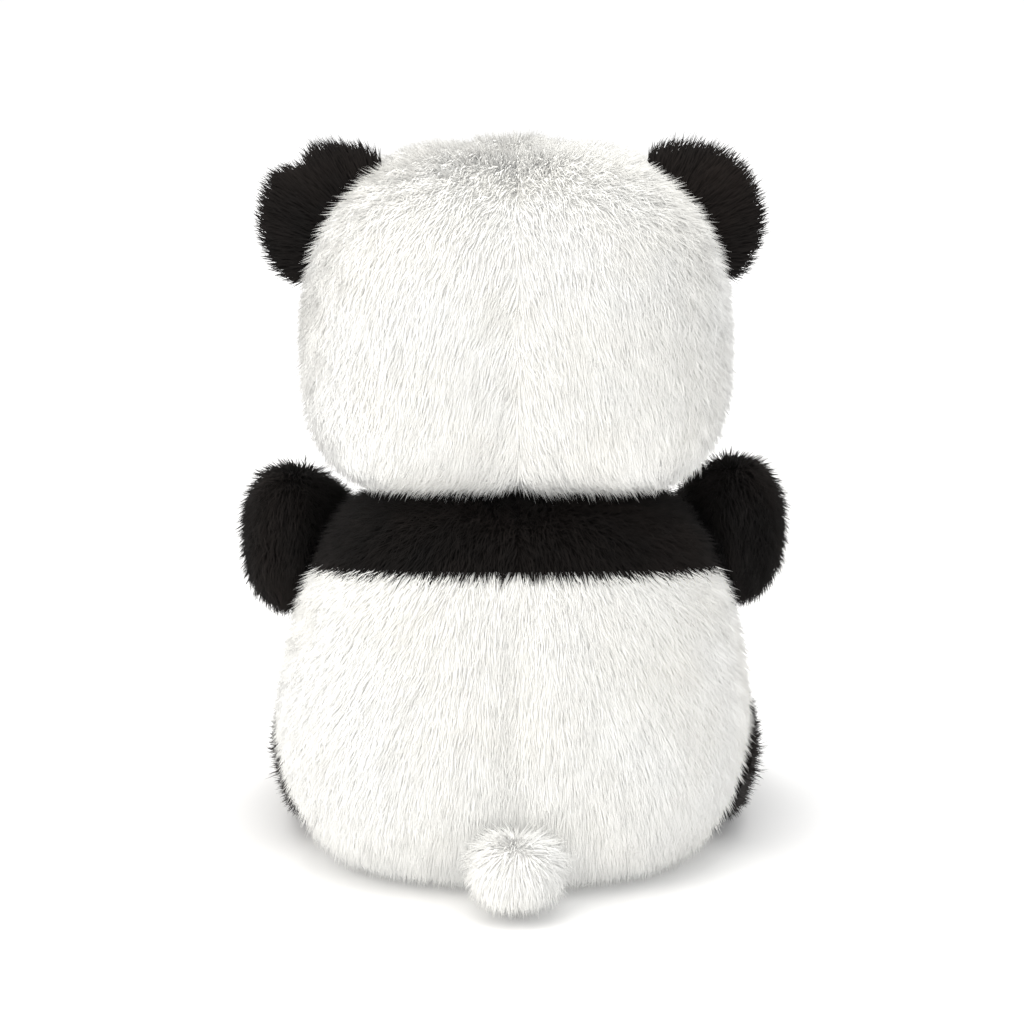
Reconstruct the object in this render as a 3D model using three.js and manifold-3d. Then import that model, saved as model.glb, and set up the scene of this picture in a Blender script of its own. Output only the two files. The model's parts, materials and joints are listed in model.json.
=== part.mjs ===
// Seated plush panda: a soft toy sewn from pile-fabric panels round fibre stuffing.
// Millimetres, +Z up. The panda sits on its flat seat, faces -Y, and its own left side is +X.
// The origin is under the middle of its bounding box.

import * as THREE from "three";
import { mergeVertices } from "three/addons/utils/BufferGeometryUtils.js";
import Module from "manifold-3d";

const wasm = await Module();
wasm.setup();

// Cloth and clearances
const SKIN = 4;                 // pile fabric, its backing and the root of the pile
const GAP = 0.4;                // between sewn pieces, and between a panel and its stuffing
const MOVING_GAP = 1.6;         // between pieces that turn past each other
const SHORT_PILE = 2;           // the clipped pile of the eye patches
const FAR = 400;                // half the side of a cutting block
const FINEST = 0.05;            // slivers smaller than this are cleaned off

// Head
const HEAD = { centre: [0, -6, 188], radii: [74, 65, 60], power: 2.9, taper: 0.04, around: 20, up: 10 };
const HEAD_FLOOR = 141;         // the flat underside that meets the shoulders
const HEAD_SEAM_Y = -4;         // from ear to ear
const FOREHEAD_HALF = 17;
const FOREHEAD_FLOOR = 196;
const MUZZLE = { centre: [0, -61, 168], radii: [27, 23, 20], power: 2.3, around: 14, up: 8 };
const NECK = [0, -2, 138];      // the pivot of the head
const NECK_RADIUS = 26;

// Face
const EYE_AIM = [27, -62, 2];   // from the middle of the head, left eye
const PATCH_AIM = [31, -60, -2];
const PATCH_HALF = [13, 17.5];
const PATCH_TILT = 32;          // degrees, lower end outwards
const EYE_RADIUS = 6;
const SHANK_RADIUS = 2;
const SHANK_LENGTH = 14;
const WASHER_RADIUS = 5.5;
const WASHER_THICK = 2;
const NOSE_AIM = [0, -22, 8];   // from the middle of the muzzle
const NOSE_RADII = [8, 5, 5.5];
const THREAD_RADIUS = 0.8;

// Ears
const EAR_CENTRE = [61, -4, 221];
const EAR_RADII = [29, 7.5, 29];
const EAR_HINGE = { centre: [58, -4, 219], slope: 56 };   // slope of the base line below level, degrees
const EAR_FOLD = [-20, 0, 20];

// Body
const BODY_CENTRE_Y = 5;
const BODY_DEPTH = 0.86;        // depth as a share of width
const BODY_POWER = 2.3;
const SEAT_RADIUS = 50;
const BODY_OUTLINE = [          // half-width and height, from the rim of the seat to the neck
  [SEAT_RADIUS, 0], [64, 5], [74, 17], [81, 36], [82, 53], [79.5, 71], [76, 88],
  [73.5, 100], [71, 111], [66.5, 120], [59, 127], [48, 132], [34, 134.5],
];
const BODY_TOP = 135;
const BAND_HEIGHT = 101.5;      // lower edge of the black band at the sides
const BAND_SLOPE = 8.5;         // degrees, rising towards the back
const SIDE_SEAM_Y = -5;
const SEAT_SEAM = 7;
const BAG = { centre: [0, 4, 22], radii: [52, 44, 14], power: 2.2, around: 16, up: 6 };
const BAG_CLOTH = 1.2;

// Limbs: the rear end of each is a half ball about its own joint
const ARM = { root: [72, -8, 110], tip: [75.5, -70, 101], radius: 20, right_rise: 3 };
const SHOULDER = { radii: [20, 26, 26], power: 2, around: 14, up: 8 };   // about the root of the arm
const ARM_RAISE = [-8, 0, 15, 30];
const LEG = { root: [60, -12, 25.3], tip: [61, -98, 25.3], radius: 25 };
const FOOT = { centre: [61.5, -108, 26.8], radii: [26, 15, 26.5], power: 2.4, around: 12, up: 8 };
const SOLE_SEAM = -113;
const LEG_LIFT = [0, 9, 18];

// Tail
const TAIL = { centre: [0, 84, 15], radii: [18, 18, 14.7], power: 2.2, around: 14, up: 8 };
const TAIL_ROOT = [0, 66, 15];
const TAIL_WAG = [-15, 0, 15];

const cloth = (color) => new THREE.MeshStandardMaterial({ color, roughness: 0.95, metalness: 0 });
const WHITE_PILE = cloth(0xf1eee6);
const BLACK_PILE = cloth(0x1d1b1a);
const FIBRE = cloth(0xf7f7f5);
const COTTON = cloth(0xe6e1d6);
const THREAD = cloth(0x181617);
const PELLETS = new THREE.MeshStandardMaterial({ color: 0xd9d9d4, roughness: 0.5, metalness: 0 });
const BLACK_PLASTIC = new THREE.MeshStandardMaterial({ color: 0x0c0b0c, roughness: 0.15, metalness: 0 });
const CLEAR_WHITE_PLASTIC = new THREE.MeshStandardMaterial({ color: 0xdadad6, roughness: 0.4, metalness: 0 });

const radians = THREE.MathUtils.degToRad;
const vector = (values) => new THREE.Vector3(...values);
const mirrored = ([x, y, z], side) => [side * x, y, z];

// ---- Geometry helpers ----

/** A copy with only positions, whose shared corners are one vertex each. */
function welded(geometry) {
  const bare = geometry.clone();
  bare.deleteAttribute("normal");
  bare.deleteAttribute("uv");
  return mergeVertices(bare, 1e-4);
}

function solid(geometry) {
  const mesh = welded(geometry);
  return new wasm.Manifold(new wasm.Mesh({
    numProp: 3,
    vertProperties: Float32Array.from(mesh.attributes.position.array),
    triVerts: Uint32Array.from(mesh.index.array),
  }));
}

/** The solid inside a surface that is moved outwards along its normals by the distance. */
function grown(geometry, distance = 0) {
  const mesh = welded(geometry);
  mesh.computeVertexNormals();
  const { position, normal } = mesh.attributes;
  for (let i = 0; i < position.count; i += 1) {
    const point = new THREE.Vector3().fromBufferAttribute(position, i);
    point.addScaledVector(new THREE.Vector3().fromBufferAttribute(normal, i), distance);
    position.setXYZ(i, point.x, point.y, point.z);
  }
  return solid(mesh);
}

/** Moves every vertex of a geometry to where the function puts it. */
function warped(geometry, place) {
  const { position } = geometry.attributes;
  for (let i = 0; i < position.count; i += 1) {
    const point = place(new THREE.Vector3().fromBufferAttribute(position, i));
    position.setXYZ(i, point.x, point.y, point.z);
  }
  return geometry;
}

const norm = (values, power) => values.reduce((sum, v) => sum + Math.abs(v) ** power, 0) ** (1 / power);

/** A rounded block: a ball at power 2, squarer above it, and wider below its middle with a taper. */
function blob({ centre, radii, power, taper = 0, around, up }) {
  const ball = new THREE.SphereGeometry(1, around, up).rotateX(Math.PI / 2);
  return warped(ball, (point) => {
    point.divideScalar(norm(point.toArray(), power));
    const width = 1 - taper * point.z;
    return new THREE.Vector3(point.x * width, point.y, point.z).multiply(vector(radii)).add(vector(centre));
  });
}

/** Where a line from the middle of a blob leaves it. */
function onBlob({ centre, radii, power }, aim) {
  const reach = norm(aim.map((value, axis) => value / radii[axis]), power);
  return vector(aim).divideScalar(reach).add(vector(centre));
}

/** A capsule whose end centres are the two points. */
function capsule(from, to, radius) {
  const along = vector(to).sub(vector(from));
  const turn = new THREE.Quaternion().setFromUnitVectors(new THREE.Vector3(0, 1, 0), along.clone().normalize());
  return new THREE.CapsuleGeometry(radius, along.length(), 3, 12)
    .translate(0, along.length() / 2, 0)
    .applyQuaternion(turn)
    .translate(...from);
}

/** Everything on the far side of a plane, which stands at the distance along its normal. */
function half(normal, distance) {
  const turn = new THREE.Quaternion().setFromUnitVectors(new THREE.Vector3(0, 0, 1), vector(normal));
  const block = new THREE.BoxGeometry(2 * FAR, 2 * FAR, 2 * FAR).translate(0, 0, FAR + distance);
  return solid(block.applyQuaternion(turn));
}

/** The two sides of a seam, each half a gap back from it. */
function seam(normal, distance) {
  return {
    beyond: half(normal, distance + GAP / 2),
    before: half(normal.map((value) => -value), GAP / 2 - distance),
  };
}

const keep = (shape, ...spaces) => spaces.reduce((rest, space) => rest.intersect(space), shape);
const cut = (shape, ...tools) => tools.reduce((rest, tool) => rest.subtract(tool), shape);

/** A solid turned about an axis through a point, once for each angle. */
function turned(shape, pivot, axis, angles) {
  const away = new THREE.Matrix4().makeTranslation(...pivot.map((value) => -value));
  const back = new THREE.Matrix4().makeTranslation(...pivot);
  return angles.map((angle) => {
    const spin = new THREE.Matrix4().makeRotationAxis(vector(axis).normalize(), radians(angle));
    return shape.transform(back.clone().multiply(spin).multiply(away).elements);
  });
}

/** A closed Lathe about a line that starts at a point and runs along an aim. */
function pegged(profile, start, aim, sides = 10) {
  const turn = new THREE.Quaternion().setFromUnitVectors(new THREE.Vector3(0, 1, 0), aim.clone().normalize());
  const points = profile.map(([radius, height]) => new THREE.Vector2(radius, height));
  return solid(new THREE.LatheGeometry(points, sides).applyQuaternion(turn).translate(...start.toArray()));
}

const rod = (radius, low, high, start, aim) =>
  pegged([[0, low], [radius, low], [radius, high], [0, high]], start, aim);

/** Hangs the largest body of a solid in a group, as a named mesh. */
function add(group, name, shape, material) {
  const [body] = shape.simplify(FINEST).decompose().sort((a, b) => b.volume() - a.volume());
  const { vertProperties, triVerts } = body.getMesh();
  const geometry = new THREE.BufferGeometry();
  geometry.setAttribute("position", new THREE.BufferAttribute(vertProperties, 3));
  geometry.setIndex(new THREE.BufferAttribute(triVerts, 1));
  geometry.computeVertexNormals();
  const mesh = new THREE.Mesh(geometry, material);
  mesh.name = name;
  group.add(mesh);
}

// ---- Shared forms ----

function bodyForm() {
  const outline = new THREE.SplineCurve(BODY_OUTLINE.map(([width, height]) => new THREE.Vector2(width, height)));
  const profile = [new THREE.Vector2(0, 0), ...outline.getPoints(8), new THREE.Vector2(0, BODY_TOP)];
  return warped(new THREE.LatheGeometry(profile, 18).rotateX(Math.PI / 2), (point) => {
    const radius = Math.hypot(point.x, point.y) || 1;
    const square = norm([point.x / radius, point.y / radius], BODY_POWER) || 1;
    return new THREE.Vector3(point.x / square, BODY_CENTRE_Y + (BODY_DEPTH * point.y) / square, point.z);
  });
}

const headForm = blob(HEAD);
const muzzleForm = blob(MUZZLE);
const torsoForm = bodyForm();
const neckRoom = grown(new THREE.SphereGeometry(NECK_RADIUS + MOVING_GAP, 12, 6).translate(...NECK));
const sideSeam = seam([1, 0, 0], 0);

/** The form of the head less its underside, drawn in by the depth. */
const headSolid = (depth) => keep(grown(headForm, -depth), half([0, 0, 1], HEAD_FLOOR + depth));

// ---- Head ----

/** The plastic peg and washer of an eye or the nose: where they stand, and the room they need. */
function peg(surface, aim) {
  const inwards = aim.clone().normalize().negate();
  const washerTop = SKIN + 3.2;
  return {
    shank: rod(SHANK_RADIUS, -2, SHANK_LENGTH, surface, inwards),
    hole: rod(SHANK_RADIUS + GAP, -4, SHANK_LENGTH + 1, surface, inwards),
    washer: rod(WASHER_RADIUS, washerTop, washerTop + WASHER_THICK, surface, inwards)
      .subtract(rod(SHANK_RADIUS + GAP / 2, 0, SHANK_LENGTH, surface, inwards)),
    room: rod(WASHER_RADIUS + GAP, 1, washerTop + WASHER_THICK + GAP, surface, inwards),
  };
}

/** The left or right eye, its patch of short pile and its washer. */
function eye(head, side, name) {
  const aim = vector(mirrored(EYE_AIM, side));
  const surface = onBlob(HEAD, aim.toArray());
  const parts = peg(surface, aim);
  const patchAim = vector(mirrored(PATCH_AIM, side)).normalize();
  const oval = new THREE.CylinderGeometry(1, 1, 40, 18).rotateX(Math.PI / 2)
    .scale(PATCH_HALF[0], PATCH_HALF[1], 1).rotateZ(radians(side * PATCH_TILT)).rotateX(Math.PI / 2);
  const toAim = new THREE.Quaternion().setFromUnitVectors(new THREE.Vector3(0, -1, 0), patchAim);
  const prism = solid(oval.applyQuaternion(toAim).translate(...onBlob(HEAD, patchAim.toArray()).toArray()));
  const patchTop = grown(headForm, GAP + SHORT_PILE);
  const patch = keep(patchTop.subtract(grown(headForm, GAP)), prism)
    .subtract(parts.hole).subtract(grown(muzzleForm, GAP));
  const dome = pegged(
    [[0, -1], [EYE_RADIUS, -1], [EYE_RADIUS, 1.2], [5.2, 3], [3.6, 4.6], [1.8, 5.4], [0, 5.6]],
    surface.clone().addScaledVector(aim.clone().normalize(), SHORT_PILE), aim,
  ).subtract(grown(headForm, 2 * GAP + SHORT_PILE));
  add(head, `eye_patch_${name}`, patch, BLACK_PILE);
  add(head, `eye_${name}`, dome.add(parts.shank), BLACK_PLASTIC);
  add(head, `eye_washer_${name}`, parts.washer, CLEAR_WHITE_PLASTIC);
  return parts;
}

function nose(head) {
  const aim = vector(NOSE_AIM);
  const surface = onBlob(MUZZLE, NOSE_AIM);
  const parts = peg(surface, aim);
  const cap = blob({ centre: surface.toArray(), radii: NOSE_RADII, power: 2.2, around: 12, up: 8 });
  const bridge = solid(cap).subtract(grown(muzzleForm, GAP));
  add(head, "nose", bridge.add(parts.shank), BLACK_PLASTIC);
  add(head, "nose_washer", parts.washer, CLEAR_WHITE_PLASTIC);
  return parts;
}

/** The stitched mouth: a short stroke below the nose and a shallow curve under it. */
function mouth(head) {
  const onMuzzle = (x, z) => {
    const [a, b, c] = MUZZLE.radii.map((radius) => radius + GAP + THREAD_RADIUS);
    const depth = (1 - Math.abs(x / a) ** MUZZLE.power - Math.abs(z / c) ** MUZZLE.power) ** (1 / MUZZLE.power);
    return vector([x, -b * depth, z]).add(vector(MUZZLE.centre));
  };
  const section = new THREE.Shape().absarc(0, 0, THREAD_RADIUS, 0, 2 * Math.PI);
  const thread = (points) => solid(new THREE.ExtrudeGeometry(section, {
    steps: 6, curveSegments: 3, bevelEnabled: false, extrudePath: new THREE.CatmullRomCurve3(points),
  }));
  const smile = [-9, -6, -3, 0, 3, 6, 9].map((x) => onMuzzle(x, -6 + 0.05 * x * x));
  const stroke = [1, -2, -4, -6].map((z) => onMuzzle(0, z));
  add(head, "mouth_stitch", thread(smile).add(thread(stroke)), THREAD);
}

function headParts() {
  const head = new THREE.Group();
  const pegs = [eye(head, 1, "left"), eye(head, -1, "right")];
  const nosePeg = nose(head);
  mouth(head);
  const holes = [...pegs.map((parts) => parts.hole), nosePeg.hole];
  const rooms = [...pegs.map((parts) => parts.room), nosePeg.room];

  const shell = cut(headSolid(0), headSolid(SKIN), neckRoom, grown(muzzleForm, GAP), ...holes);
  const earSeam = seam([0, 1, 0], HEAD_SEAM_Y);
  const back = shell.intersect(earSeam.beyond);
  const face = shell.intersect(earSeam.before);
  add(head, "head_back_left_panel", back.intersect(sideSeam.beyond), WHITE_PILE);
  add(head, "head_back_right_panel", back.intersect(sideSeam.before), WHITE_PILE);
  const forehead = { left: seam([1, 0, 0], FOREHEAD_HALF), right: seam([-1, 0, 0], FOREHEAD_HALF) };
  const brow = seam([0, 0, 1], FOREHEAD_FLOOR);
  add(head, "forehead_panel", keep(face, forehead.left.before, forehead.right.before, brow.beyond), WHITE_PILE);
  const foreheadBlock = keep(
    half([0, 0, 1], FOREHEAD_FLOOR - GAP / 2),
    half([-1, 0, 0], -FOREHEAD_HALF - GAP / 2),
    half([1, 0, 0], -FOREHEAD_HALF - GAP / 2),
  );
  const cheeks = face.subtract(foreheadBlock);
  add(head, "cheek_left_panel", cheeks.intersect(sideSeam.beyond), WHITE_PILE);
  add(head, "cheek_right_panel", cheeks.intersect(sideSeam.before), WHITE_PILE);

  const muzzle = cut(grown(muzzleForm), grown(muzzleForm, -SKIN), grown(headForm, GAP), ...holes);
  add(head, "muzzle_panel", muzzle, WHITE_PILE);
  const filling = headSolid(SKIN + GAP).add(grown(muzzleForm, -SKIN - GAP));
  add(head, "head_stuffing", cut(filling, neckRoom, ...holes, ...rooms), FIBRE);
  return head;
}

/** One ear: two layers of black pile sewn back to back, clear of the head through its whole fold. */
function earParts(side, name) {
  const ear = new THREE.Group();
  const slope = radians(EAR_HINGE.slope);
  const hingeAxis = mirrored([Math.cos(slope), 0, -Math.sin(slope)], side);
  const headRoom = turned(grown(headForm, MOVING_GAP), mirrored(EAR_HINGE.centre, side), hingeAxis, EAR_FOLD);
  const form = blob({ centre: mirrored(EAR_CENTRE, side), radii: EAR_RADII, power: 2.1, around: 20, up: 8 });
  const layers = cut(solid(form), ...headRoom);
  const edge = seam([0, 1, 0], EAR_CENTRE[1]);
  add(ear, `ear_${name}_back_panel`, layers.intersect(edge.beyond), BLACK_PILE);
  add(ear, `ear_${name}_front_panel`, layers.intersect(edge.before), BLACK_PILE);
  return ear;
}

// ---- Body ----

function neckParts() {
  const neck = new THREE.Group();
  const ball = solid(new THREE.SphereGeometry(NECK_RADIUS, 12, 6).translate(...NECK));
  add(neck, "neck_stuffing", ball, FIBRE);
  return neck;
}

function bodyParts() {
  const body = new THREE.Group();
  const shell = cut(grown(torsoForm), grown(torsoForm, -SKIN), neckRoom);
  const slope = radians(BAND_SLOPE);
  const band = seam([0, -Math.sin(slope), Math.cos(slope)], BAND_HEIGHT * Math.cos(slope));
  const flank = seam([0, 1, 0], SIDE_SEAM_Y);
  const seat = seam([0, 0, 1], SEAT_SEAM);
  const upper = shell.intersect(band.beyond);
  const lower = keep(shell, band.before, seat.beyond);
  add(body, "shoulder_back_left_panel", keep(upper, flank.beyond, sideSeam.beyond), BLACK_PILE);
  add(body, "shoulder_back_right_panel", keep(upper, flank.beyond, sideSeam.before), BLACK_PILE);
  add(body, "chest_panel", upper.intersect(flank.before), BLACK_PILE);
  add(body, "back_left_panel", keep(lower, flank.beyond, sideSeam.beyond), WHITE_PILE);
  add(body, "back_right_panel", keep(lower, flank.beyond, sideSeam.before), WHITE_PILE);
  add(body, "belly_panel", lower.intersect(flank.before), WHITE_PILE);
  add(body, "seat_panel", shell.intersect(seat.before), WHITE_PILE);

  const bagForm = blob(BAG);
  const bagWell = new THREE.CylinderGeometry(1, 1, BAG.centre[2], 16).rotateX(Math.PI / 2)
    .scale(BAG.radii[0] + GAP, BAG.radii[1] + GAP, 1)
    .translate(BAG.centre[0], BAG.centre[1], BAG.centre[2] / 2);
  const filling = cut(grown(torsoForm, -SKIN - GAP), neckRoom, grown(bagForm, GAP), solid(bagWell));
  add(body, "body_stuffing", filling, FIBRE);
  const bag = grown(bagForm).subtract(grown(bagForm, -BAG_CLOTH));
  const bagSeam = seam([0, 0, 1], BAG.centre[2]);
  add(body, "pellet_bag_top", bag.intersect(bagSeam.beyond), COTTON);
  add(body, "pellet_bag_bottom", bag.intersect(bagSeam.before), COTTON);
  add(body, "pellets", grown(bagForm, -BAG_CLOTH - GAP), PELLETS);
  return body;
}

// ---- Limbs and tail ----

/** The body, grown by a distance, at each angle that a limb makes with it. */
const bodyAround = (distance, pivot, axis, angles) =>
  turned(grown(torsoForm, distance), pivot, axis, angles.map((angle) => -angle));

/** A limb that is clear of the body at every angle, drawn in by the depth. */
function limb(forms, depth, pivot, axis, angles) {
  const whole = forms.map((form) => grown(form, -depth)).reduce((sum, part) => sum.add(part));
  return cut(whole, ...bodyAround(MOVING_GAP + depth, pivot, axis, angles));
}

function armParts(side, name) {
  const arm = new THREE.Group();
  const rise = side < 0 ? ARM.right_rise : 0;
  const placed = ([x, y, z]) => [side * x, y, z + rise];
  const root = placed(ARM.root);
  const forms = [capsule(root, placed(ARM.tip), ARM.radius), blob({ ...SHOULDER, centre: root })];
  const at = (depth) => limb(forms, depth, root, [-1, 0, 0], ARM_RAISE);
  const shell = at(0).subtract(at(SKIN));
  const edge = seam([side, 0, 0], ARM.root[0] + 1);
  add(arm, `arm_${name}_outer_panel`, shell.intersect(edge.beyond), BLACK_PILE);
  add(arm, `arm_${name}_inner_panel`, shell.intersect(edge.before), BLACK_PILE);
  add(arm, `arm_${name}_stuffing`, at(SKIN + GAP), FIBRE);
  return arm;
}

function legParts(side, name) {
  const leg = new THREE.Group();
  const root = mirrored(LEG.root, side);
  const foot = blob({ ...FOOT, centre: mirrored(FOOT.centre, side) });
  const forms = [capsule(root, mirrored(LEG.tip, side), LEG.radius), foot];
  const at = (depth) => limb(forms, depth, root, [-1, 0, 0], LEG_LIFT);
  const shell = at(0).subtract(at(SKIN));
  const sole = seam([0, -1, 0], -SOLE_SEAM);
  const edge = seam([0, 0, 1], LEG.root[2]);
  add(leg, `foot_${name}_sole`, shell.intersect(sole.beyond), BLACK_PILE);
  add(leg, `leg_${name}_upper_panel`, keep(shell, sole.before, edge.beyond), BLACK_PILE);
  add(leg, `leg_${name}_lower_panel`, keep(shell, sole.before, edge.before), BLACK_PILE);
  add(leg, `leg_${name}_stuffing`, at(SKIN + GAP), FIBRE);
  return leg;
}

function tailParts() {
  const tail = new THREE.Group();
  const at = (depth) => limb([blob(TAIL)], depth, TAIL_ROOT, [0, 0, 1], TAIL_WAG);
  const shell = at(0).subtract(at(SKIN));
  const edge = seam([0, 0, 1], TAIL.centre[2]);
  add(tail, "tail_upper_panel", shell.intersect(edge.beyond), WHITE_PILE);
  add(tail, "tail_lower_panel", shell.intersect(edge.before), WHITE_PILE);
  add(tail, "tail_stuffing", at(SKIN + GAP), FIBRE);
  return tail;
}

// ---- Assembly ----

const panda = new THREE.Group();
panda.add(bodyParts(), neckParts(), headParts(), tailParts());
for (const [side, name] of [[1, "left"], [-1, "right"]]) {
  panda.add(earParts(side, name), armParts(side, name), legParts(side, name));
}
const middle = new THREE.Box3().setFromObject(panda).getCenter(new THREE.Vector3());
panda.position.set(0, -middle.y, 0);

export default panda;
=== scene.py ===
"""A seated plush panda: pile-fabric panels sewn round stuffing, with safety eyes and a pom tail.

Metres, +Z up. The panda faces -Y, and its own left side is +X. Every piece is made where the frame
puts it, and rides on the frame's body of the same name.
"""

import json
import math
from itertools import product

import bmesh
import bpy
import numpy as np
from bpy.props import FloatProperty, FloatVectorProperty, IntProperty, PointerProperty
from mathutils import Matrix, Vector, noise


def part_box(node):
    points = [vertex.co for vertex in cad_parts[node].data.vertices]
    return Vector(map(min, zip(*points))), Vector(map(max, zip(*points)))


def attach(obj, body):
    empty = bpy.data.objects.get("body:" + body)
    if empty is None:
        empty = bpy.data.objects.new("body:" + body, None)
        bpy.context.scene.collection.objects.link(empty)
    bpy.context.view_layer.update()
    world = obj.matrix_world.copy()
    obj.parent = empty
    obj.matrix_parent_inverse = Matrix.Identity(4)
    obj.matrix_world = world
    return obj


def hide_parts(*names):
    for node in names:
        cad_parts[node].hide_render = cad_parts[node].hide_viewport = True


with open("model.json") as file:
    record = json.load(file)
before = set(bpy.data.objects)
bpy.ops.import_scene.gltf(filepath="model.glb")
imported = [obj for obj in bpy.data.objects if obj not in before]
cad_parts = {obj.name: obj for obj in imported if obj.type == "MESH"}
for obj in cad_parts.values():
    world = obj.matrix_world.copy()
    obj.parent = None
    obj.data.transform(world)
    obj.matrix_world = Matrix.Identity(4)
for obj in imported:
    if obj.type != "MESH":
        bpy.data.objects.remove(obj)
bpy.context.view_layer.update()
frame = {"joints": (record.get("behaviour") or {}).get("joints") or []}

bl_info = {
    "name": "Plush panda",
    "version": (1, 0, 0),
    "blender": (4, 5, 0),
    "location": "View3D > Sidebar > Panda",
    "description": "Builds a seated plush panda around its frame",
    "category": "Object",
}

MM = 0.001
JOINT = {joint["name"]: Vector(joint["pos_m"]) for joint in frame["joints"]}
SIDES = (("left", 1), ("right", -1))
PRESSED = 1.6 * MM  # below this height the pile is pressed flat by the floor
FLOOR_GAP = 0.2 * MM


# ---- Settings a user may change ----


MILLIMETRES = {"unit": "LENGTH", "precision": 5}
COLOUR = {"subtype": "COLOR", "size": 3, "min": 0, "max": 1}


class PandaPile(bpy.types.PropertyGroup):
    """The pile of the plush fabric"""

    length: FloatProperty(
        name="Length", description="Length of one tuft", default=8.8 * MM, **MILLIMETRES)
    spacing: FloatProperty(
        name="Spacing", description="Least distance between two tufts", default=0.51 * MM, **MILLIMETRES)
    width: FloatProperty(
        name="Width", description="Width of a tuft at its root", default=0.56 * MM, **MILLIMETRES)
    lean: FloatProperty(
        name="Lean", description="How far the pile leans along the nap",
        default=math.radians(50), subtype="ANGLE")
    clump: FloatProperty(
        name="Clumping", description="How strongly neighbouring tufts gather to a point",
        default=0.3, min=0, max=2)
    stray: FloatProperty(
        name="Stray", description="How far single tufts go their own way", default=0.17, min=0, max=2)
    seed: IntProperty(name="Seed", description="Seed of every scatter", default=7)


class PandaForm(bpy.types.PropertyGroup):
    """The stuffed forms under the pile"""

    backing: FloatProperty(
        name="Backing depth", description="From the outline in to the backing cloth",
        default=5.6 * MM, **MILLIMETRES)
    swell: FloatProperty(
        name="Swell", description="How far stuffing pushes a panel out between its seams",
        default=3 * MM, **MILLIMETRES)
    cloth: FloatProperty(
        name="Cloth", description="Thickness of the backing cloth", default=1 * MM, **MILLIMETRES)
    pressure: FloatProperty(
        name="Pressure", description="Pressure of the stuffing in the cloth simulation", default=800.0)


class PandaColours(bpy.types.PropertyGroup):
    """Colours of the fabrics and plastics"""

    white_tip: FloatVectorProperty(
        name="White tips", description="Tips of the white pile", default=(0.928, 0.93, 0.912), **COLOUR)
    # The root colours are painted shade: darker than the tips, as shade falls deep in the pile.
    white_root_shaded: FloatVectorProperty(
        name="White roots", description="Roots of the white pile", default=(0.905, 0.9, 0.88), **COLOUR)
    black_tip: FloatVectorProperty(
        name="Black tips", description="Tips of the black pile", default=(0.0135, 0.0122, 0.0118), **COLOUR)
    # Painted shade deep in the black pile, as for the white.
    black_root_shaded: FloatVectorProperty(
        name="Black roots", description="Roots of the black pile", default=(0.0045, 0.004, 0.0039), **COLOUR)
    plastic: FloatVectorProperty(
        name="Plastic", description="Eyes and nose", default=(0.006, 0.006, 0.007), **COLOUR)
    washer: FloatVectorProperty(
        name="Washers", description="Moulded washers behind the face", default=(0.78, 0.78, 0.75), **COLOUR)
    fibre: FloatVectorProperty(
        name="Fibre", description="Polyester filling", default=(0.88, 0.88, 0.86), **COLOUR)
    cotton: FloatVectorProperty(
        name="Cotton", description="Cloth of the pellet bag", default=(0.72, 0.67, 0.58), **COLOUR)


class PandaStage(bpy.types.PropertyGroup):
    """Camera, lights and floor"""

    elevation: FloatProperty(
        name="Camera height", description="Angle of the camera above level",
        default=math.radians(12), subtype="ANGLE")
    distance: FloatProperty(
        name="Camera distance", description="From the camera to the middle of the panda",
        default=1.3, unit="LENGTH")
    field: FloatProperty(
        name="Field", description="Width of the picture at the panda", default=0.3543, unit="LENGTH")
    key: FloatProperty(
        name="Key light", description="Power of the large soft light", default=9.0, unit="POWER")
    fill: FloatProperty(
        name="Surroundings", description="Strength of the even light all round", default=1.02)


def settings():
    scene = bpy.context.scene
    return scene.panda_pile, scene.panda_form, scene.panda_colours, scene.panda_stage


# ---- Node graphs written as expressions ----


class Value:
    """A node's output that takes part in Python sums, each of which adds a Math node."""

    def __init__(self, graph, socket):
        self.graph, self.socket = graph, socket

    def __add__(self, other):
        return self.graph.math("ADD", self, other)

    def __sub__(self, other):
        return self.graph.math("SUBTRACT", self, other)

    def __rsub__(self, other):
        return self.graph.math("SUBTRACT", other, self)

    def __mul__(self, other):
        return self.graph.math("MULTIPLY", self, other)

    __radd__, __rmul__ = __add__, __mul__


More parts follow.
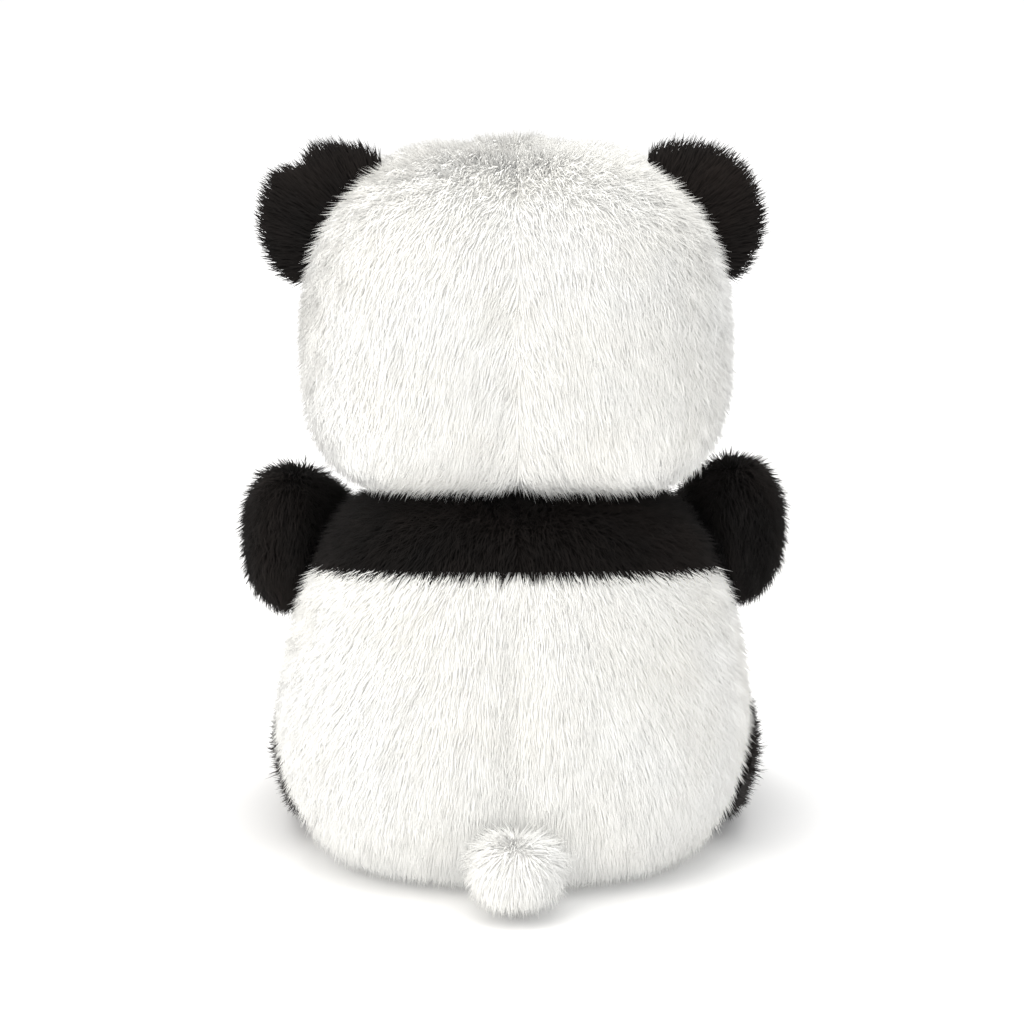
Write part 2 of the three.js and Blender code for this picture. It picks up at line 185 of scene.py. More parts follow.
class Graph:
    """A node tree, for a material or for geometry."""

    def __init__(self, tree):
        self.tree = tree
        tree.nodes.clear()

    def node(self, kind, options=None, sockets=None, output=0):
        """Adds a node: its settings first, then the values or links of its sockets. Gives one output."""
        made = self.tree.nodes.new(kind)
        for name, value in (options or {}).items():
            if name == "stops":
                self._stops(made.color_ramp, value)
            else:
                setattr(made, name, value)
        for key, value in (sockets or {}).items():
            if isinstance(value, Value):
                self.tree.links.new(value.socket, made.inputs[key])
            else:
                made.inputs[key].default_value = value
        return Value(self, made.outputs[output]) if made.outputs else made

    @staticmethod
    def _stops(ramp, stops):
        while len(ramp.elements) < len(stops):
            ramp.elements.new(1.0)
        for element, (place, level) in zip(ramp.elements, stops, strict=True):
            element.position, element.color = place, (level, level, level, 1.0)

    def math(self, operation, a, b=0.0):
        return self.node("ShaderNodeMath", {"operation": operation}, {0: a, 1: b})

    def vector(self, operation, a, b=(0.0, 0.0, 0.0)):
        return self.node("ShaderNodeVectorMath", {"operation": operation}, {0: a, 1: b})

    def scaled(self, vector, by):
        return self.node("ShaderNodeVectorMath", {"operation": "SCALE"}, {0: vector, "Scale": by})

    def colour_mix(self, factor, a, b, blend="MIX"):
        sockets = {0: factor, 6: a, 7: b}
        return self.node("ShaderNodeMix", {"data_type": "RGBA", "blend_type": blend}, sockets, output=2)

    def noise(self, scale, detail=2.0, vector=None, output=0, roughness=0.5):
        sockets = {"Scale": scale, "Detail": detail, "Roughness": roughness}
        if vector:
            sockets["Vector"] = vector
        return self.node("ShaderNodeTexNoise", None, sockets, output)

    def ramp(self, value, *stops):
        return self.node("ShaderNodeValToRGB", {"stops": stops}, {0: value})

    def bump(self, height, strength, distance):
        sockets = {"Strength": strength, "Distance": distance, "Height": height}
        return self.node("ShaderNodeBump", None, sockets)

    def attribute(self, name):
        return self.node("ShaderNodeAttribute", {"attribute_name": name}, output=2)


def solid_colour(values, share=1.0):
    """A colour socket's value, made lighter or darker by a share."""
    return (*[value * share for value in values], 1.0)


def shader(name, build, **fixed):
    """A material whose Principled shader takes fixed values as they are and the rest from build(graph)."""
    material = bpy.data.materials.get(name)
    if material:
        return material
    material = bpy.data.materials.new(name)
    material.use_nodes = True
    graph = Graph(material.node_tree)
    surface = graph.node("ShaderNodeBsdfPrincipled")
    principled = surface.socket.node
    for socket, value in fixed.items():
        principled.inputs[socket.replace("_", " ")].default_value = value
    for socket, value in build(graph).items():
        graph.tree.links.new(value.socket, principled.inputs[socket])
    graph.node("ShaderNodeOutputMaterial", None, {"Surface": surface})
    return material


def object_place(graph):
    return graph.node("ShaderNodeTexCoord", output=3)


def pile_material(name, root, tip, warm, mottle, sheen, rough, painted_glow=0.0):
    """Pile that is darker at its roots as painted shade deep in the pile, with slow patches, a tone for each
    tuft and dyed streaks, and a glow that is painted light lifting its shade where one is given.
    """

    def build(graph):
        place = object_place(graph)
        along = graph.attribute("along")
        tone = graph.attribute("tone")
        patches = graph.noise(28.0, 3.0, place)
        streaks = graph.noise(260.0, 2.0, place)
        # Painted shade: the colour darkens from the tips to the roots, where shade falls deep in the pile.
        root_shade = graph.ramp(along, (0.0, 0.0), (0.45, 0.75), (1.0, 1.0))
        body = graph.colour_mix(root_shade, solid_colour(root), solid_colour(tip))
        tinted = graph.colour_mix(graph.ramp(patches, (0.35, 0.0), (0.7, 0.6)), body, solid_colour(warm))
        level = 1.0 - mottle + tone * (mottle * 0.7) + streaks * (mottle * 0.6)
        shade = graph.node("ShaderNodeCombineColor", None, {0: level, 1: level, 2: level})
        return {
            "Base Color": graph.colour_mix(1.0, tinted, shade, "MULTIPLY"),
            "Roughness": rough + (streaks - 0.5) * 0.16,
        }

    # Emission in the tips' colour is a painted glow: it lifts the shade between the tufts as if light
    # scattered in the pile.
    return shader(
        name, build, Sheen_Weight=sheen, Sheen_Roughness=0.5, Specular_IOR_Level=0.07,
        Emission_Color=solid_colour(tip), Emission_Strength=painted_glow)


def white_pile():
    colours = settings()[2]
    warm = [tip * share for tip, share in zip(colours.white_tip, (0.985, 0.965, 0.925), strict=True)]
    # The last value, 0.15, is the strength of the white pile's painted glow.
    return pile_material("white pile", colours.white_root_shaded, colours.white_tip, warm, 0.07, 0.0, 0.85, 0.15)


def black_pile():
    colours = settings()[2]
    warm = [tip * share for tip, share in zip(colours.black_tip, (1.9, 1.6, 1.45), strict=True)]
    return pile_material("black pile", colours.black_root_shaded, colours.black_tip, warm, 0.4, 0.03, 0.72)


# ---- Forms ----


def smooth_step(value, low, high):
    share = max(0.0, min(1.0, (value - low) / (high - low)))
    return share * share * (3 - 2 * share)


def span(*nodes):
    """The lowest and highest corners of several CAD nodes together."""
    corners = [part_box(node) for node in nodes]
    low = Vector([min(box[0][axis] for box in corners) for axis in range(3)])
    high = Vector([max(box[1][axis] for box in corners) for axis in range(3)])
    return low, high


def placed_ball(name, cuts, place):
    """A ball of even squares whose points, as unit vectors, are moved by place()."""
    ball = bmesh.new()
    bmesh.ops.create_cube(ball, size=2.0)
    bmesh.ops.subdivide_edges(ball, edges=ball.edges, cuts=cuts, use_grid_fill=True)
    for vertex in ball.verts:
        x, y, z = vertex.co
        even = [math.tan(value * math.pi / 4) for value in (x, y, z)]
        vertex.co = place(Vector(even).normalized())
    if ball.calc_volume(signed=True) < 0:
        bmesh.ops.reverse_faces(ball, faces=ball.faces)
    return form_object(name, ball, False)


def form_object(name, mesh_in_work, recalculate=True):
    if recalculate:
        bmesh.ops.recalc_face_normals(mesh_in_work, faces=mesh_in_work.faces)
    mesh = bpy.data.meshes.new(name)
    mesh_in_work.to_mesh(mesh)
    mesh_in_work.free()
    made = bpy.data.objects.new(name, mesh)
    bpy.context.scene.collection.objects.link(made)
    return made


def squared(direction, power):
    size = sum(abs(value) ** power for value in direction) ** (1 / power)
    return direction / size


def by_axis(point, radii, depth=0.0):
    """A point of a round form, with each radius less a depth."""
    return Vector([value * (radius - depth) for value, radius in zip(point, radii, strict=True)])


def smooth_outline(points, rounds=3):
    """A polyline with its corners cut, as lengths along it, widths and heights."""
    line = np.array(points, float)
    for _ in range(rounds):
        quarter = line[:-1] * 0.75 + line[1:] * 0.25
        three_quarters = line[:-1] * 0.25 + line[1:] * 0.75
        cut = np.stack([quarter, three_quarters], 1).reshape(-1, 2)
        line = np.vstack([line[:1], cut, line[-1:]])
    lengths = np.concatenate([[0], np.cumsum(np.linalg.norm(np.diff(line, axis=0), axis=1))])
    return lengths / lengths[-1], line[:, 0], line[:, 1]


HEAD_LOW, HEAD_HIGH = span(
    "head_back_left_panel", "head_back_right_panel", "cheek_left_panel", "cheek_right_panel",
    "forehead_panel")
HEAD_RADII = Vector((HEAD_HIGH.x, (HEAD_HIGH.y - HEAD_LOW.y) / 2, 60 * MM))
HEAD_MIDDLE = Vector((0, (HEAD_HIGH.y + HEAD_LOW.y) / 2, HEAD_HIGH.z - HEAD_RADII.z))
HEAD_POWER = 2.9
JAW_POWER = 1.2  # added to the power low on the back of the head, which fills its lower corners
HEAD_TAPER = 0.05
HEAD_FLOOR = HEAD_LOW.z - 6.2 * MM
HEAD_FLAT = 0.25  # how much of its roundness the head keeps where it rests on the neck
EAR_SEAM_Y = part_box("head_back_left_panel")[0].y
FOREHEAD_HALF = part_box("forehead_panel")[1].x
FOREHEAD_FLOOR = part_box("forehead_panel")[0].z

MUZZLE_LOW, MUZZLE_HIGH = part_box("muzzle_panel")
MUZZLE_RADII = Vector((27, 23, 20)) * MM
MUZZLE_POWER = 2.3
MUZZLE_MIDDLE = Vector((0, MUZZLE_LOW.y + MUZZLE_RADII.y, (MUZZLE_LOW.z + MUZZLE_HIGH.z) / 2))

BODY_LOW, BODY_HIGH = span(
    "seat_panel", "belly_panel", "back_left_panel", "back_right_panel",
    "chest_panel", "shoulder_back_left_panel", "shoulder_back_right_panel")
BODY_WIDTH = BODY_HIGH.x
BODY_DEPTH = (BODY_HIGH.y - BODY_LOW.y) / 2
BODY_MIDDLE_Y = (BODY_HIGH.y + BODY_LOW.y) / 2
BODY_TOP = BODY_HIGH.z
# Widths and heights from the middle of the seat to the neck, as shares of the half-width and the height
BODY_OUTLINE = (
    (0, 0), (0.35, 0), (0.66, 0.0), (0.84, 0.055), (0.95, 0.17), (1.0, 0.32), (1.0, 0.45), (0.97, 0.56),
    (0.93, 0.66), (0.9, 0.75), (0.875, 0.82), (0.82, 0.885), (0.725, 0.94), (0.58, 0.98), (0.38, 1.0),
    (0, 1.0))
BODY_POWER = 2.3
BODY_FLOOR = 1.2 * MM
BODY_LEAN = 3 * MM  # the body sags a little towards its own left
SIDE_SEAM_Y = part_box("belly_panel")[1].y
BAND_SLOPE = math.radians(8.5)
BAND_POINT = Vector((0, SIDE_SEAM_Y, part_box("belly_panel")[1].z + 2 * MM))
BAND_NORMAL = Vector((0, -math.sin(BAND_SLOPE), math.cos(BAND_SLOPE)))
SEAT_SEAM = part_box("seat_panel")[1].z


def head_point(direction, depth):
    behind = 0.3 + 0.7 * smooth_step(direction.y, -0.2, 0.5)
    point = squared(direction, HEAD_POWER + JAW_POWER * behind * smooth_step(-direction.z, 0.1, 0.8))
    width = 1 - HEAD_TAPER * point.z
    radii = HEAD_RADII - Vector((depth, depth, depth))
    place = HEAD_MIDDLE + Vector((point.x * width * radii.x, point.y * radii.y, point.z * radii.z))
    floor = HEAD_FLOOR + depth
    if place.z < floor:
        place.z = floor - (floor - place.z) * HEAD_FLAT
    return place


def muzzle_point(direction, depth):
    point = squared(direction, MUZZLE_POWER)
    return MUZZLE_MIDDLE + by_axis(point, MUZZLE_RADII, depth)


def body_point(direction, depth, outline=smooth_outline(BODY_OUTLINE)):
    lengths, widths, heights = outline
    along = math.acos(max(-1.0, min(1.0, -direction.z))) / math.pi
    width, height = np.interp(along, lengths, widths), np.interp(along, lengths, heights)
    flat = math.hypot(direction.x, direction.y) or 1.0
    x, y = direction.x / flat, direction.y / flat
    square = (abs(x) ** BODY_POWER + abs(y) ** BODY_POWER) ** (1 / BODY_POWER)
    reach = width / square
    lean = BODY_LEAN * smooth_step(x, 0, 1) * smooth_step(0.75 - height, 0, 0.5)
    return Vector((
        x * reach * (BODY_WIDTH - depth) + lean,
        BODY_MIDDLE_Y + y * reach * (BODY_DEPTH - depth),
        BODY_FLOOR + height * (BODY_TOP - BODY_FLOOR - depth)))


# ---- Sewing: stuffing a form, cutting its panels and planting their pile ----


def plane_gap(point, seam):
    """How far a point is from a seam: a plane, which counts only where its third item holds."""
    at, normal, holds = seam
    return abs((point - at).dot(normal)) if holds(point) else 1.0


def read(holder, name, width):
    """A mesh's values of one kind as rows of numbers."""
    values = np.zeros(len(holder) * width, np.float32)
    holder.foreach_get(name, values)
    return values.reshape(-1, width)


SEAM_HOLD = 5 * MM  # how far from a seam its stitches still hold the cloth
CLOTH_STEPS = 20
CLOTH = {
    "quality": 5, "mass": 0.01, "tension_stiffness": 2, "compression_stiffness": 2, "shear_stiffness": 1,
    "bending_stiffness": 0.05, "use_pressure": True, "vertex_group_mass": "seam"}
LOWEST = 0.8 * MM  # the backing cloth comes no nearer to the floor


def stuffed(form, seams, swell=None):
    """Fills a closed form by a cloth simulation that its seams hold back, and keeps the result."""
    cap = settings()[1].swell if swell is None else swell
    start = read(form.data.vertices, "co", 3).astype(float)
    held = form.vertex_groups.new(name="seam")
    for vertex in form.data.vertices:
        gap = min(plane_gap(vertex.co, seam) for seam in seams)
        held.add([vertex.index], max(0.0, 1 - gap / SEAM_HOLD), "REPLACE")
    cloth = form.modifiers.new("stuffing", "CLOTH")
    for name, value in CLOTH.items():
        setattr(cloth.settings, name, value)
    cloth.settings.uniform_pressure_force = settings()[1].pressure
    cloth.settings.effector_weights.gravity = 0.0
    cloth.point_cache.frame_end = CLOTH_STEPS
    for step in range(1, CLOTH_STEPS + 1):
        bpy.context.scene.frame_set(step)
    graph = bpy.context.evaluated_depsgraph_get()
    swollen = form.evaluated_get(graph).to_mesh()
    moved = read(swollen.vertices, "co", 3) - start
    form.evaluated_get(graph).to_mesh_clear()
    form.modifiers.remove(cloth)
    bpy.context.scene.frame_set(1)
    reach = np.linalg.norm(moved, axis=1)
    share = np.minimum(1.0, cap / np.maximum(reach, 1e-9))
    placed = start + moved * share[:, None]
    placed[:, 2] = np.maximum(placed[:, 2], LOWEST)
    form.data.vertices.foreach_set("co", placed.ravel())
    form.data.update()


def panel(form, name, *cuts, marks=(), drop=None):
    """The part of a form on the near side of each cut, a point and a normal that points away.

    The sheet is only scored along its marks, and loses the faces whose middle drop() names.
    """
    sheet = bmesh.new()
    sheet.from_mesh(form.data)
    for (at, normal), clear in [(cut, True) for cut in cuts] + [(mark, False) for mark in marks]:
        bmesh.ops.bisect_plane(
            sheet, geom=sheet.verts[:] + sheet.edges[:] + sheet.faces[:], dist=1e-6,
            plane_co=at, plane_no=normal, clear_outer=clear)
    if drop:
        dropped = [face for face in sheet.faces if drop(face.calc_center_median())]
        bmesh.ops.delete(sheet, geom=dropped, context="FACES")
    return form_object(name, sheet, False)


def other_side(cut):
    """The same cut, keeping its other side."""
    return cut[0], -cut[1]


def away_from(point, start):
    return (point - start).normalized()


def comb(sheet, nap, length=lambda point: 1.0):
    """Stores, at every point of a sheet, the way its pile leans and its length."""
    naps, heights = [], []
    for vertex in sheet.data.vertices:
        way = nap(vertex.co)
        flat = way - vertex.normal * way.dot(vertex.normal)
        naps.append(flat.normalized() if flat.length > 1e-6 else Vector((0, 0, 0)))
        heights.append(length(vertex.co))
    put(sheet.data, "nap", "FLOAT_VECTOR", "vector", naps)
    put(sheet.data, "height", "FLOAT", "value", heights)


def put(mesh, name, kind, field, values):
    """Stores one value at each point of a mesh."""
    mesh.attributes.new(name, kind, "POINT")
    mesh.attributes[name].data.foreach_set(field, np.array(values, np.float32).ravel())


def tuft(name, bends, width, length):
    """One closed spike of pile: a three-sided stalk through the bends, each a height, a lean and a width."""
    stalk = bmesh.new()
    ring = bmesh.ops.create_circle(stalk, cap_ends=True, segments=3, radius=width / 2)["verts"]
    edges = stalk.edges[:]
    steps = [(0.0, 0.0, 1.0), *bends]
    for (height_a, lean_a, size_a), (height, lean, size) in zip(steps, steps[1:], strict=False):
        grown = bmesh.ops.extrude_edge_only(stalk, edges=edges)["geom"]
        ring = [item for item in grown if isinstance(item, bmesh.types.BMVert)]
        edges = [
            item for item in grown
            if isinstance(item, bmesh.types.BMEdge) and all(vertex in ring for vertex in item.verts)]
        shift = Vector(((lean - lean_a) * length, 0, (height - height_a) * length))
        bmesh.ops.translate(stalk, verts=ring, vec=shift)
        middle = Vector((lean * length, 0, height * length))
        ratio = size / size_a
        bmesh.ops.scale(stalk, verts=ring, vec=(ratio, ratio, 1), space=Matrix.Translation(-middle))
    bmesh.ops.remove_doubles(stalk, verts=ring, dist=width)
    bmesh.ops.recalc_face_normals(stalk, faces=stalk.faces)
    made = form_object(name, stalk)
    top = steps[-1][0] * length
    put(made.data, "along", "FLOAT", "value", [min(1.0, vertex.co.z / top) for vertex in made.data.vertices])
    bpy.context.scene.collection.objects.unlink(made)
    return made


TUFT_SHAPES = {
    "upright": ((1.0, 0.08, 0.02),),
    "low": ((0.85, 0.2, 0.02),),
    "leaning": ((1.0, 0.22, 0.02),),
    "crossing": ((0.95, -0.06, 0.02),),
    "curved": ((0.55, 0.14, 0.72), (0.9, 0.5, 0.02)),
}


def tufts():
    """The collection of tufts that every pile draws from."""
    shared = bpy.data.collections.get("tufts")
    if shared:
        return shared
    pile = settings()[0]
    shared = bpy.data.collections.new("tufts")
    for name, bends in TUFT_SHAPES.items():
        shared.objects.link(tuft("tuft_" + name, bends, pile.width, pile.length))
    return shared


MOST_TUFTS = 4.0e6  # for each square metre, before they are thinned to their spacing
TUFT_SIZES = (0.72, 1.12)


def planting():
    """The geometry nodes that plant tufts on a combed sheet."""
    name = "planting"
    if name in bpy.data.node_groups:
        return bpy.data.node_groups[name]
    pile = settings()[0]
    tree = bpy.data.node_groups.new(name, "GeometryNodeTree")
    faces = tree.interface
    faces.new_socket("Geometry", in_out="INPUT", socket_type="NodeSocketGeometry")
    numbers = {"Spacing": pile.spacing, "Size": 1.0, "Lean": pile.lean, "Clump": pile.clump}
    for title, default in numbers.items():
        faces.new_socket(title, in_out="INPUT", socket_type="NodeSocketFloat").default_value = default
    faces.new_socket("Seed", in_out="INPUT", socket_type="NodeSocketInt").default_value = pile.seed
    faces.new_socket("Cloth", in_out="INPUT", socket_type="NodeSocketObject")
    faces.new_socket("Geometry", in_out="OUTPUT", socket_type="NodeSocketGeometry")
    graph = Graph(tree)
    source = tree.nodes.new("NodeGroupInput")
    given = {socket.name: Value(graph, socket) for socket in source.outputs if socket.name}
    points = graph.node(
        "GeometryNodeDistributePointsOnFaces", {"distribute_method": "POISSON"},
        {"Mesh": given["Geometry"], "Distance Min": given["Spacing"], "Density Max": MOST_TUFTS,
         "Seed": given["Seed"]})
    normal = Value(graph, points.socket.node.outputs["Normal"])
    nap = graph.node("GeometryNodeInputNamedAttribute", {"data_type": "FLOAT_VECTOR"}, {"Name": "nap"})
    height = graph.node("GeometryNodeInputNamedAttribute", {"data_type": "FLOAT"}, {"Name": "height"})
    place = graph.node("GeometryNodeInputPosition")

    def wander(scale, amount):
        offset = graph.vector("SUBTRACT", graph.noise(scale, 1.0, place, output=1), (0.5, 0.5, 0.5))
        return graph.scaled(offset, amount)

    def chance(kind, low, high, sockets=(2, 3), output=1):
        limits = {sockets[0]: low, sockets[1]: high, "Seed": given["Seed"]}
        return graph.node("FunctionNodeRandomValue", {"data_type": kind}, limits, output)

    stray = chance("FLOAT_VECTOR", (-pile.stray,) * 3, (pile.stray,) * 3, (0, 1), 0)
    way = graph.vector(
        "ADD", graph.scaled(normal, graph.math("COSINE", given["Lean"])),
        graph.scaled(nap, graph.math("SINE", given["Lean"])))
    for part in (wander(70.0, given["Clump"] * 0.9), wander(330.0, given["Clump"] * 1.7), stray):
        way = graph.vector("ADD", way, part)
    way = graph.vector("NORMALIZE", way)
    bend = graph.vector("ADD", nap, wander(150.0, 1.6))
    turn = graph.node(
        "FunctionNodeAxesToRotation", {"primary_axis": "Z", "secondary_axis": "X"},
        {"Primary Axis": way, "Secondary Axis": bend})
    long = chance("FLOAT", *TUFT_SIZES) * height * given["Size"]
    scale = graph.node("ShaderNodeCombineXYZ", None, {0: long, 1: given["Size"], 2: long})
    kinds = graph.node(
        "GeometryNodeCollectionInfo", None,
        {"Collection": tufts(), "Separate Children": True, "Reset Children": True})
    pick = chance("INT", 0, len(TUFT_SHAPES) - 1, (4, 5), 2)
    planted = graph.node(
        "GeometryNodeInstanceOnPoints", None,
        {"Points": points, "Instance": kinds, "Pick Instance": True, "Instance Index": pick,
         "Rotation": turn, "Scale": scale})
    tone = chance("FLOAT", 0.0, 1.0)
    named = graph.node(
        "GeometryNodeStoreNamedAttribute", {"data_type": "FLOAT", "domain": "INSTANCE"},
        {"Geometry": planted, "Name": "tone", "Value": tone})
    named = graph.node(
        "GeometryNodeStoreNamedAttribute", {"data_type": "FLOAT_VECTOR", "domain": "INSTANCE"},
        {"Geometry": named, "Name": "under", "Value": normal})
    real = graph.node("GeometryNodeRealizeInstances", None, {"Geometry": named})
    # The cloth has no 'along' value, so it takes the roots' colour: painted shade between the tufts.
    cloth = graph.node("GeometryNodeObjectInfo", None, {"Object": given["Cloth"]}, output=4)
    join = tree.nodes.new("GeometryNodeJoinGeometry")
    for part in (cloth, real):
        tree.links.new(part.socket, join.inputs[0])
    sink = tree.nodes.new("NodeGroupOutput")
    tree.links.new(join.outputs[0], sink.inputs[0])
    return tree


def evaluated_mesh(source):
    """A new mesh of an object with its modifiers applied."""
    graph = bpy.context.evaluated_depsgraph_get()
    return bpy.data.meshes.new_from_object(source.evaluated_get(graph), depsgraph=graph)


def sewn(sheet, material, size=1.0, spacing=None, lean=None, clump=None, seed=0, soft=0.62):
    """Turns a combed sheet into a finished piece: cloth of real thickness, and its pile."""
    pile, form = settings()[:2]
    cloth = sheet.copy()
    bpy.context.scene.collection.objects.link(cloth)
    backing = cloth.modifiers.new("cloth", "SOLIDIFY")
    backing.thickness = form.cloth
    backing.offset = -1
    backing.use_even_offset = False
    scatter = sheet.modifiers.new("pile", "NODES")
    scatter.node_group = planting()
    sockets = scatter.node_group.interface.items_tree
    keys = {item.name: item.identifier for item in sockets if item.in_out == "INPUT"}
    values = {
        "Spacing": spacing or pile.spacing, "Size": size, "Lean": pile.lean if lean is None else lean,
        "Clump": pile.clump if clump is None else clump, "Seed": pile.seed + seed, "Cloth": cloth}
    for title, value in values.items():
        scatter[keys[title]] = value
    mesh = evaluated_mesh(sheet)
    discard(cloth)
    places = read(mesh.vertices, "co", 3)
    low = places[:, 2] < PRESSED
    sunk = np.exp((places[low, 2] - PRESSED) / PRESSED)
    places[low, 2] = FLOOR_GAP + (PRESSED - FLOOR_GAP) * sunk
    mesh.vertices.foreach_set("co", places.ravel())
    mesh.polygons.foreach_set("use_smooth", [True] * len(mesh.polygons))
    own = read(mesh.vertices, "normal", 3)
    under = read(mesh.attributes["under"].data, "vector", 3)
    own = own * (1 - soft * np.linalg.norm(under, axis=1)[:, None]) + under * soft
    own /= np.maximum(np.linalg.norm(own, axis=1), 1e-9)[:, None]
    mesh.normals_split_custom_set_from_vertices(own)
    mesh.materials.clear()
    mesh.materials.append(material)
    mesh.polygons.foreach_set("material_index", [0] * len(mesh.polygons))
    sheet.modifiers.clear()
    sheet.data = mesh
    for name in ("nap", "height", "under"):
        if name in mesh.attributes:
            mesh.attributes.remove(mesh.attributes[name])
    return sheet


def finish_piece(piece, body, node):
    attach(piece, body)
    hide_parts(node)


def discard(*forms):
    for form in forms:
        bpy.data.objects.remove(form)


def everywhere(point):
    return True


MIDDLE_SEAM = (Vector((0, 0, 0)), Vector((1, 0, 0)))


# ---- Head ----


def aimed(aim_mm, side=1):
    """A unit vector from millimetres, mirrored for the right side."""
    return Vector((aim_mm[0] * side, aim_mm[1], aim_mm[2])).normalized()


EYE_AIM = (27, -62, 2)
PATCH_AIM = (31, -60, -2)
PATCH_HALF = Vector((13.5, 18)) * MM
PATCH_TILT = math.radians(32)
PATCH_DEPTH = 4.4 * MM
NOSE_AIM = (0, -22, 8)
EYE_RADIUS = 6.1 * MM
EYE_HEIGHT = 4.6 * MM


def on_head(direction, depth):
    """Where a line from the middle of the head meets its form."""
    scaled = Vector([value / radius for value, radius in zip(direction, HEAD_RADII, strict=True)])
    reach = sum(abs(value) ** HEAD_POWER for value in scaled) ** (1 / HEAD_POWER)
    return HEAD_MIDDLE + direction / reach - direction * depth


def patch_share(point, side):
    """How far a point is from the middle of an eye patch, as a share of the patch's half-size."""
    aim = aimed(PATCH_AIM, side)
    across = Vector((0, 0, 1)).cross(-aim).normalized()
    up = (-aim).cross(across)
    offset = point - on_head(aim, 0)
    if offset.length > 0.05:
        return 9.0
    x, y = offset.dot(across) * side, offset.dot(up)
    turn_x = x * math.cos(PATCH_TILT) + y * math.sin(PATCH_TILT)
    turn_y = y * math.cos(PATCH_TILT) - x * math.sin(PATCH_TILT)
    return math.hypot(turn_x / PATCH_HALF.x, turn_y / PATCH_HALF.y)


def patch_sheet(name, side):
    """An oval of cloth laid on the head: an even grid drawn into a disc."""
    aim = aimed(PATCH_AIM, side)
    across = Vector((0, 0, 1)).cross(-aim).normalized() * side
    up = aim.cross(across) * -side
    sheet = bmesh.new()
    bmesh.ops.create_grid(sheet, x_segments=18, y_segments=18, size=1.0)
    for vertex in sheet.verts:
        x, y = vertex.co.x, vertex.co.y
        x, y = x * math.sqrt(1 - y * y / 2) * PATCH_HALF.x, y * math.sqrt(1 - x * x / 2) * PATCH_HALF.y
        flat_x = x * math.cos(PATCH_TILT) - y * math.sin(PATCH_TILT)
        flat_y = x * math.sin(PATCH_TILT) + y * math.cos(PATCH_TILT)
        towards = on_head(aim, 0) - HEAD_MIDDLE + across * flat_x + up * flat_y
        vertex.co = on_head(towards.normalized(), PATCH_DEPTH)
    made = form_object(name, sheet)
    if made.data.polygons[0].normal.dot(aim) < 0:
        made.data.flip_normals()
    return made


def muzzle_share(point):
    offset = point - MUZZLE_MIDDLE
    return math.sqrt(sum((value / radius) ** 2 for value, radius in zip(offset, MUZZLE_RADII, strict=True)))


def face_length(point):
    """Pile on the face is clipped short round the muzzle and the eyes."""
    from_muzzle = smooth_step(muzzle_share(point), 1.0, 2.4)
    from_eyes = min(smooth_step(patch_share(point, side), 1.0, 2.2) for side in (1, -1))
    front = smooth_step(point.y, HEAD_LOW.y, EAR_SEAM_Y)
    return min(1.0, 0.42 + 0.58 * min(from_muzzle, 0.35 + 0.65 * from_eyes) ** (1 - 0.6 * front))


def head_nap(point):
    """The pile lies away from the nose over the face, and down from the crown over the back."""
    face = away_from(point, muzzle_point(aimed(NOSE_AIM), 0))
    crown = Vector((0, EAR_SEAM_Y - 34 * MM, HEAD_HIGH.z + 8 * MM))
    back = away_from(point, crown) + Vector((parting(point), 0, 0))
    share = smooth_step(point.y, EAR_SEAM_Y - 45 * MM, EAR_SEAM_Y + 5 * MM)
    return face * (1 - share) + back * share


def parting(point):
    """The pile turns slightly away from the middle seam."""
    return math.copysign(0.22 * math.exp(-abs(point.x) / (6 * MM)), point.x)


